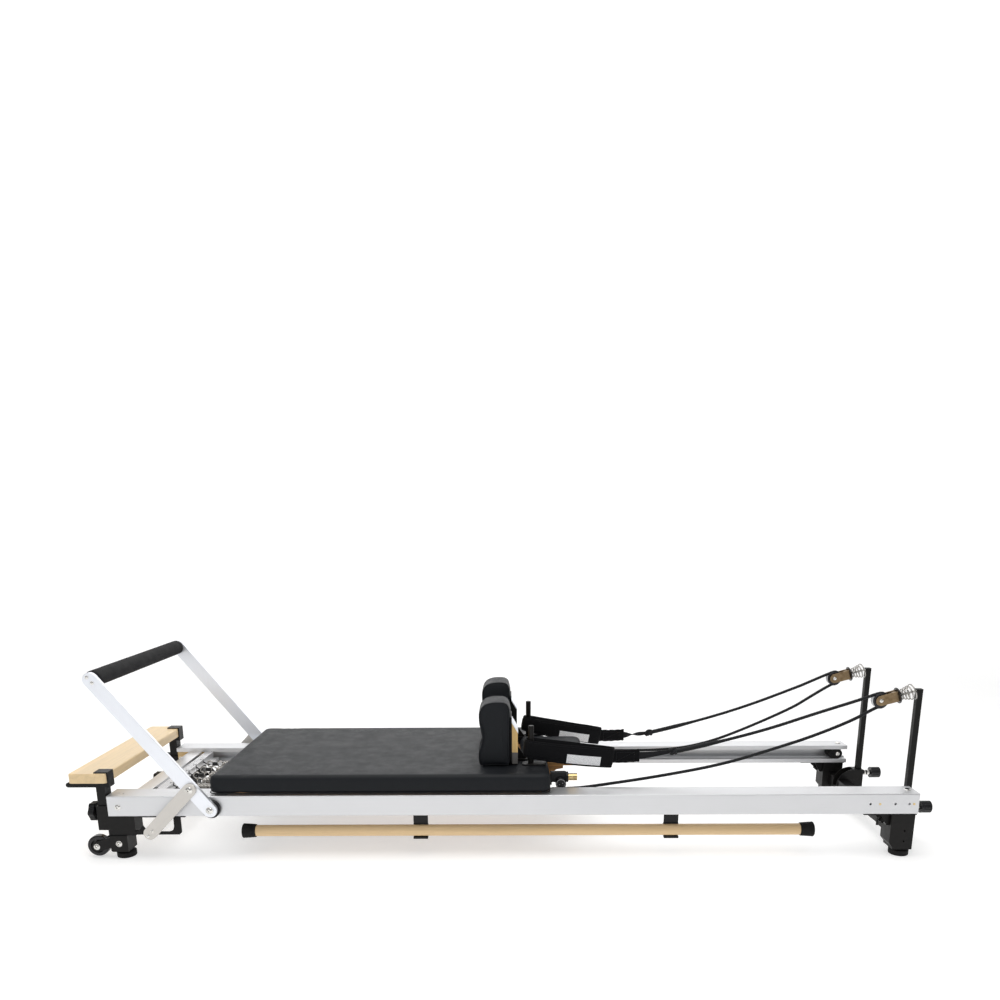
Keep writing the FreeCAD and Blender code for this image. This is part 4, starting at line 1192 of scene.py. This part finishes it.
def pulley_wheel(side, name, black, pale):
    """Grooved wheel with black flanges and a pale groove, its pale colour a painted reflection."""
    body = "pulley_wheel_" + name
    centre = at(PULLEY[0], side * PULLEY_Y, PULLEY[1])
    half = [(-8, 4.2), (-8, 21.5), (-7.5, 22), (-6.4, 22), (-5.5, 19.6), (-3.5, 16.4), (0, 15.0)]
    wheel = lathe(body, centre, (0, 1, 0), millimetres(mirrored(half)))
    dress(wheel, black, body, 30)
    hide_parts(body)
    # Painted reflection: the pale groove stands in for the bright reflection in a glossy black groove.
    groove = [(-6.35, 14), (-6.35, 21.9), (-5.3, 19.8), (-3.3, 16.7), (0, 15.4)]
    liner = lathe("pulley_groove_" + name, centre, (0, 1, 0), millimetres(mirrored(groove)))
    dress(liner, pale, body, 40)


def guide_roller(side, name, black, grey):
    """Rope guide roller with a bright ring and a slotted screw on its outer face."""
    centre = at(GUIDE_X, side * GUIDE_Y, ROLLER_Z)
    face = [(-6.5, 4.2), (-6.5, 14.8), (-5.8, 15.5), (-4.6, 15.5), (-3.2, 12.8), (0, 11.6), (3.2, 12.8)]
    face += [(4.6, 15.5), (5.8, 15.5), (6.5, 14.8), (6.5, 12.9), (5.9, 12.6), (5.9, 7.2)]
    face += [(6.8, 6.9), (6.8, 1)]
    roller = lathe("guide_roller_" + name, centre, (0, side, 0), millimetres(face))
    dress(roller, black, "guide_rollers", 30)
    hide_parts("guide_rollers")
    ring_line = circle(centre + Vector((0, side * RING_FACE * MM, 0)), 12.7, 64)
    ring = tube("guide_ring_" + name, ring_line, 0.8 * MM, sides=8, closed=True)
    dress(ring, grey, "guide_rollers")
    lean = Vector((math.cos(0.45), 0, math.sin(0.45))) * SCREW_SLOT
    middle = centre + Vector((0, side * 6.9, 0)) * MM
    slot = tube("guide_slot_" + name, [middle - lean, middle, middle + lean], 1.0 * MM, sides=8)
    dress(slot, grey, "guide_rollers")


def rest_trim(side, name, bright, grey, black):
    """Bright plate over a shoulder board's slanted top, grey block under it, black plate inside."""
    body = "shoulder_rest_" + name
    inner, outer = BOARD_SIDES
    to_space = beside(side)
    slant = [Vector(p) for p in ((3.4, 374.8), (22.4, 342.8), (22.4, 347.6), (3.4, 379.8))]
    sides = [(0.3, inner), (0, inner + 0.4), (0, outer - 0.4), (0.3, outer)]
    plate = pillow_start("rest_plate_" + name, slant, sides, to_space)
    dress(plate, bright, body, 30)
    sides = [(0.6, inner + 0.2), (0, inner + 0.8), (0, outer - 0.9), (0.6, outer - 0.3)]
    block = pillow_start("rest_block_" + name, corners_of((4.1, 251.2), (21.4, 286)), sides, to_space)
    dress(block, grey, body, 30)
    inside = [Vector(p) for p in ((3.9, 286.4), (21.6, 286.4), (21.6, 343.6), (3.9, 373.6))]
    sides = [(0.4, inner - 1.6), (0, inner - 1.2), (0, inner + 0.5)]
    liner = pillow_start("rest_liner_" + name, inside, sides, to_space)
    dress(liner, black, body, 30)


def post_plate(side, name, mat):
    """Flat steel plate under a strap post, lying on the pad."""
    corners = rounded_outline([(34, 156, 5), (104, 156, 5), (104, 190, 5), (34, 190, 5)])
    edge = [(0.0, 246.6), (0.0, 250.2), (0.6, 250.8)]
    plate = pillow_start("post_plate_" + name, corners, edge, lambda u, v, h: at(u, side * v, h))
    dress(plate, mat, "carriage", 30)


def knob_collar(side, name, bright):
    """Bright plunger body between the riser sleeve and the pull knob."""
    profile = [(0, 4), (0, 7.2), (0.8, 8.6), (5, 8.6), (5.6, 7.4), (9, 7.4), (9.6, 8.8)]
    profile += [(17, 8.8), (17.8, 8.0), (20, 8.0), (20, 4)]
    start = at(1191.5, side * PULLEY_Y, 110)
    collar = lathe("pull_knob_collar_" + name, start, (1, 0, 0), millimetres(profile), 40)
    dress(collar, bright, "pull_knob_" + name, 30)


def pole_cap(name, x, way, mat):
    """Flared rubber end with shallow ribs."""
    profile = [(0.0, 0.0166), (0.0003, 0.0182), (0.0012, 0.0189)]
    for rib in range(7):
        base = 0.003 + 0.0042 * rib
        flare = 0.019 + 0.0025 * base / 0.038
        profile += [(base, flare), (base + 0.0022, flare + 0.0002)]
        profile += [(base + 0.003, flare - 0.0005), (base + 0.0038, flare - 0.0005)]
    profile += [(0.034, 0.0214), (0.0368, 0.0214), (0.038, 0.0202), (0.038, 0.008)]
    cap = lathe("pole_cap_" + name, at(x, -255, 73), (way, 0, 0), profile, 48)
    dress(cap, mat, "pole", 30)
    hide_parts("pole_caps")


# ---- materials of the frame's own nodes
def dress_nodes(materials):
    """Gives each frame node its finish."""
    wanted = {
        "rail_aluminium": ["side_rails"],
        "cross_aluminium": ["foot_crossbar", "spring_bar"],
        "arm_aluminium": ["footbar_frame"],
        # strut takes the aluminium with painted shade
        "strut_aluminium_painted_shade": ["strut_frame"],
        "powder_coat": [
            "spring_bar_ties", "head_legs", "head_plates", "foot_leg_blocks", "rack_plates", "riser_brackets",
            "platform_brackets", "carriage_frame", "strap_posts",
            "shoulder_bracket_near", "shoulder_bracket_far",
            "riser_near", "riser_far",
        ],
        "rubber": ["feet", "rail_bumpers"],
        "end_block": ["rail_end_blocks"],
        "chrome": ["frame_bolts", "pivot_bolts", "footbar_bolts", "strut_screws"],
        "brass": ["rail_set_screws", "rope_guide_sleeves"],
        "plastic": [
            "pole_clips", "pivot_discs", "rope_guides",
            "star_knob_near", "star_knob_far", "star_knob_crossbar",
        ],
        "gloss": [
            "transport_wheel_near", "transport_wheel_far", "carriage_wheels_foot", "carriage_wheels_head",
            "pull_knob_near", "pull_knob_far",
        ],
        "board_maple": ["platform_board"],
        # boards under the pads take the plywood with painted shade
        "pole_maple": ["pole"],
        "plywood_painted_shade": ["carriage_base", "headrest_board"],
        "back_plywood": ["shoulder_board_near", "shoulder_board_far"],
    }
    for key, names in wanted.items():
        for name in names:
            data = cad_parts[name].data
            data.materials.clear()
            data.materials.append(materials[key])


def make_materials():
    return {
        "rail_aluminium": aluminium("rail_aluminium", (0.70, 0.705, 0.72), 0.42, 0),
        "cross_aluminium": aluminium("cross_aluminium", (0.80, 0.80, 0.81), 0.34, 1),
        "arm_aluminium": aluminium("arm_aluminium", (0.88, 0.90, 0.95), 0.4, 2),
        # Darker, warmer copy of the aluminium: painted shade on the strut.
        "strut_aluminium_painted_shade": aluminium("strut_aluminium_painted_shade", (0.62, 0.595, 0.56), 0.42, 2),
        "powder_coat": powder_coat(),
        "rubber": rubber(),
        "end_block": moulded_plastic("end_block_plastic", (0.62, 0.46, 0.24), 0.5),
        "chrome": chrome(),
        "brass": brass(),
        "plastic": moulded_plastic("black_plastic", (0.004, 0.004, 0.005), 0.36),
        "gloss": moulded_plastic("black_nylon", (0.004, 0.004, 0.006), 0.2, 0.00004, 0.45),
        "board_maple": maple("board_maple", 1, (0.80, 0.60, 0.34)),
        "pole_maple": maple("pole_maple", 0, (0.74, 0.53, 0.29)),
        # Darker copy of the plywood: painted shade for the carriage base and headrest board.
        "plywood_painted_shade": plywood("plywood_painted_shade", 2, (0.38, 0.20, 0.065)),
        "back_plywood": plywood("back_plywood", 0, (0.66, 0.44, 0.16)),
        "vinyl": vinyl(),
        "foam": foam(),
        "webbing": woven("padded_webbing", (0.0035, 0.0036, 0.0045)),
        "ribbon": woven("flat_webbing", (0.014, 0.014, 0.016), thread=0.0016, depth=0.0002),
        "thread": moulded_plastic("black_thread", (0.014, 0.014, 0.016), 0.6),
        "label": woven("label_cloth", (0.74, 0.77, 0.84), thread=0.0007, depth=0.00012),
        "rope": braided_rope(),
        "plate": brushed_plate(),
        "spring": spring_steel(),
        # pale groove colour: painted reflection
        "pale": moulded_plastic("pale_groove_painted_reflection", (0.72, 0.73, 0.75), 0.3),
        "grey": moulded_plastic("grey_trim", (0.34, 0.34, 0.35), 0.3),
        "grey_block": moulded_plastic("grey_block", (0.11, 0.105, 0.10), 0.4),
        "hook": moulded_plastic("hook_sleeve", (0.010, 0.010, 0.011), 0.3),
    }


# ---- camera, light and floor
def camera():
    """Camera at a standing height beside the machine, level with its middle."""
    forward = Vector((
        math.sin(CAMERA_YAW) * math.cos(CAMERA_PITCH),
        math.cos(CAMERA_YAW) * math.cos(CAMERA_PITCH),
        -math.sin(CAMERA_PITCH),
    ))
    level = Vector((math.cos(CAMERA_YAW), -math.sin(CAMERA_YAW), 0))
    upright = level.cross(forward)
    right = level * math.cos(CAMERA_ROLL) + upright * math.sin(CAMERA_ROLL)
    up = upright * math.cos(CAMERA_ROLL) - level * math.sin(CAMERA_ROLL)
    data = bpy.data.cameras.new("camera")
    data.sensor_width = SENSOR
    data.lens = SENSOR * FOCAL_SHARE
    data.shift_y = SHIFT_UP
    data.clip_end = 200
    obj = bpy.data.objects.new("camera", data)
    turn = Matrix((right, up, -forward)).transposed().to_4x4()
    obj.matrix_world = Matrix.Translation(CAMERA_AT) @ turn
    bpy.context.scene.collection.objects.link(obj)
    bpy.context.scene.camera = obj


ROOM_LIGHT = 0.38


def area_light(name, place, target, size, power, color):
    data = bpy.data.lights.new(name, "AREA")
    data.shape = "RECTANGLE"
    data.size, data.size_y = size
    data.energy = power
    data.color = color
    obj = bpy.data.objects.new(name, data)
    direction = Vector(target) - Vector(place)
    obj.rotation_euler = direction.to_track_quat("-Z", "Y").to_euler()
    obj.location = place
    bpy.context.scene.collection.objects.link(obj)


def sweep_floor(paper):
    """Paper that lies flat under the machine and curves up far behind it."""
    flat, radius, top, front, half_width = 9.0, 6.0, 30.0, -30.0, 40.0
    section = [(front, 0.0), (flat, 0.0)]
    for k in range(1, 25):
        a = math.pi / 2 * k / 24
        section.append((flat + radius * math.sin(a), radius * (1 - math.cos(a))))
    section.append((flat + radius, top))
    verts, faces = [], []
    for y, z in section:
        verts += [(-half_width, y, z), (half_width, y, z)]
    for i in range(len(section) - 1):
        faces.append((2 * i, 2 * i + 1, 2 * i + 3, 2 * i + 2))
    floor = mesh_object("floor", verts, faces)
    floor.data.shade_smooth()
    floor.data.materials.append(paper)


def studio(paper):
    """Dim white room with a broad lamp above, a strip in front and a wash on the paper behind."""
    world = bpy.data.worlds.new("studio")
    bpy.context.scene.world = world
    world.use_nodes = True
    background = world.node_tree.nodes["Background"]
    background.inputs["Color"].default_value = (1.0, 1.0, 1.0, 1)
    background.inputs["Strength"].default_value = ROOM_LIGHT
    area_light("overhead_softbox", (-0.3, -0.3, 3.2), (0, 0.1, 0.2), (4.2, 2.6), 92, (1.0, 0.99, 0.97))
    area_light("front_softbox", (-2.0, -3.8, 1.5), (-0.2, 0, 0.3), (2.4, 1.2), 16, (0.95, 0.98, 1.0))
    area_light("backdrop_wash", (0, 6.0, 9.0), (0, 15.0, 5.0), (16.0, 3.0), 1500, (1, 1, 1))
    sweep_floor(paper)
    bpy.context.scene.view_settings.view_transform = "Standard"


def main():
    materials = make_materials()
    camera()
    studio(floor_paper())
    dress_nodes(materials)
    carriage_pad(materials["vinyl"])
    carriage_hem(materials["vinyl"])
    headrest_pad(materials["vinyl"])
    foam_grip(materials["foam"])
    for name, side in SIDES.items():
        shoulder_pad(side, name, materials["vinyl"])
        frames = strap_loop(side, name, materials["webbing"])
        strap_trim(name, frames, materials["webbing"], materials["thread"])
        strap_label(side, name, frames, materials["label"])
        strap_tab(side, name, materials["webbing"], materials["thread"])
        strap_ribbon(side, name, materials["ribbon"])
        rope_knot(side, name, materials["rope"])
        rope_run(side, name, "upper", materials["rope"])
        rope_run(side, name, "lower", materials["rope"])
        rope_turn(side, name, materials["rope"])
        pulley_plates(side, name, materials["plate"])
        pulley_screws(side, name, materials["chrome"])
        pulley_hanger(side, name, materials["chrome"], materials["gloss"], materials["spring"])
        pulley_wheel(side, name, materials["gloss"], materials["pale"])
        guide_roller(side, name, materials["gloss"], materials["grey"])
        rest_trim(side, name, materials["arm_aluminium"], materials["grey_block"], materials["powder_coat"])
        post_plate(side, name, materials["powder_coat"])
        knob_collar(side, name, materials["chrome"])
    for index, y in enumerate(SPRING_ROWS):
        spring_coil(index, y, materials["spring"])
        spring_ends(index, y, materials["spring"], materials["hook"])
    pole_cap("foot", -739, -1, materials["rubber"])
    pole_cap("head", 832, 1, materials["rubber"])


main()
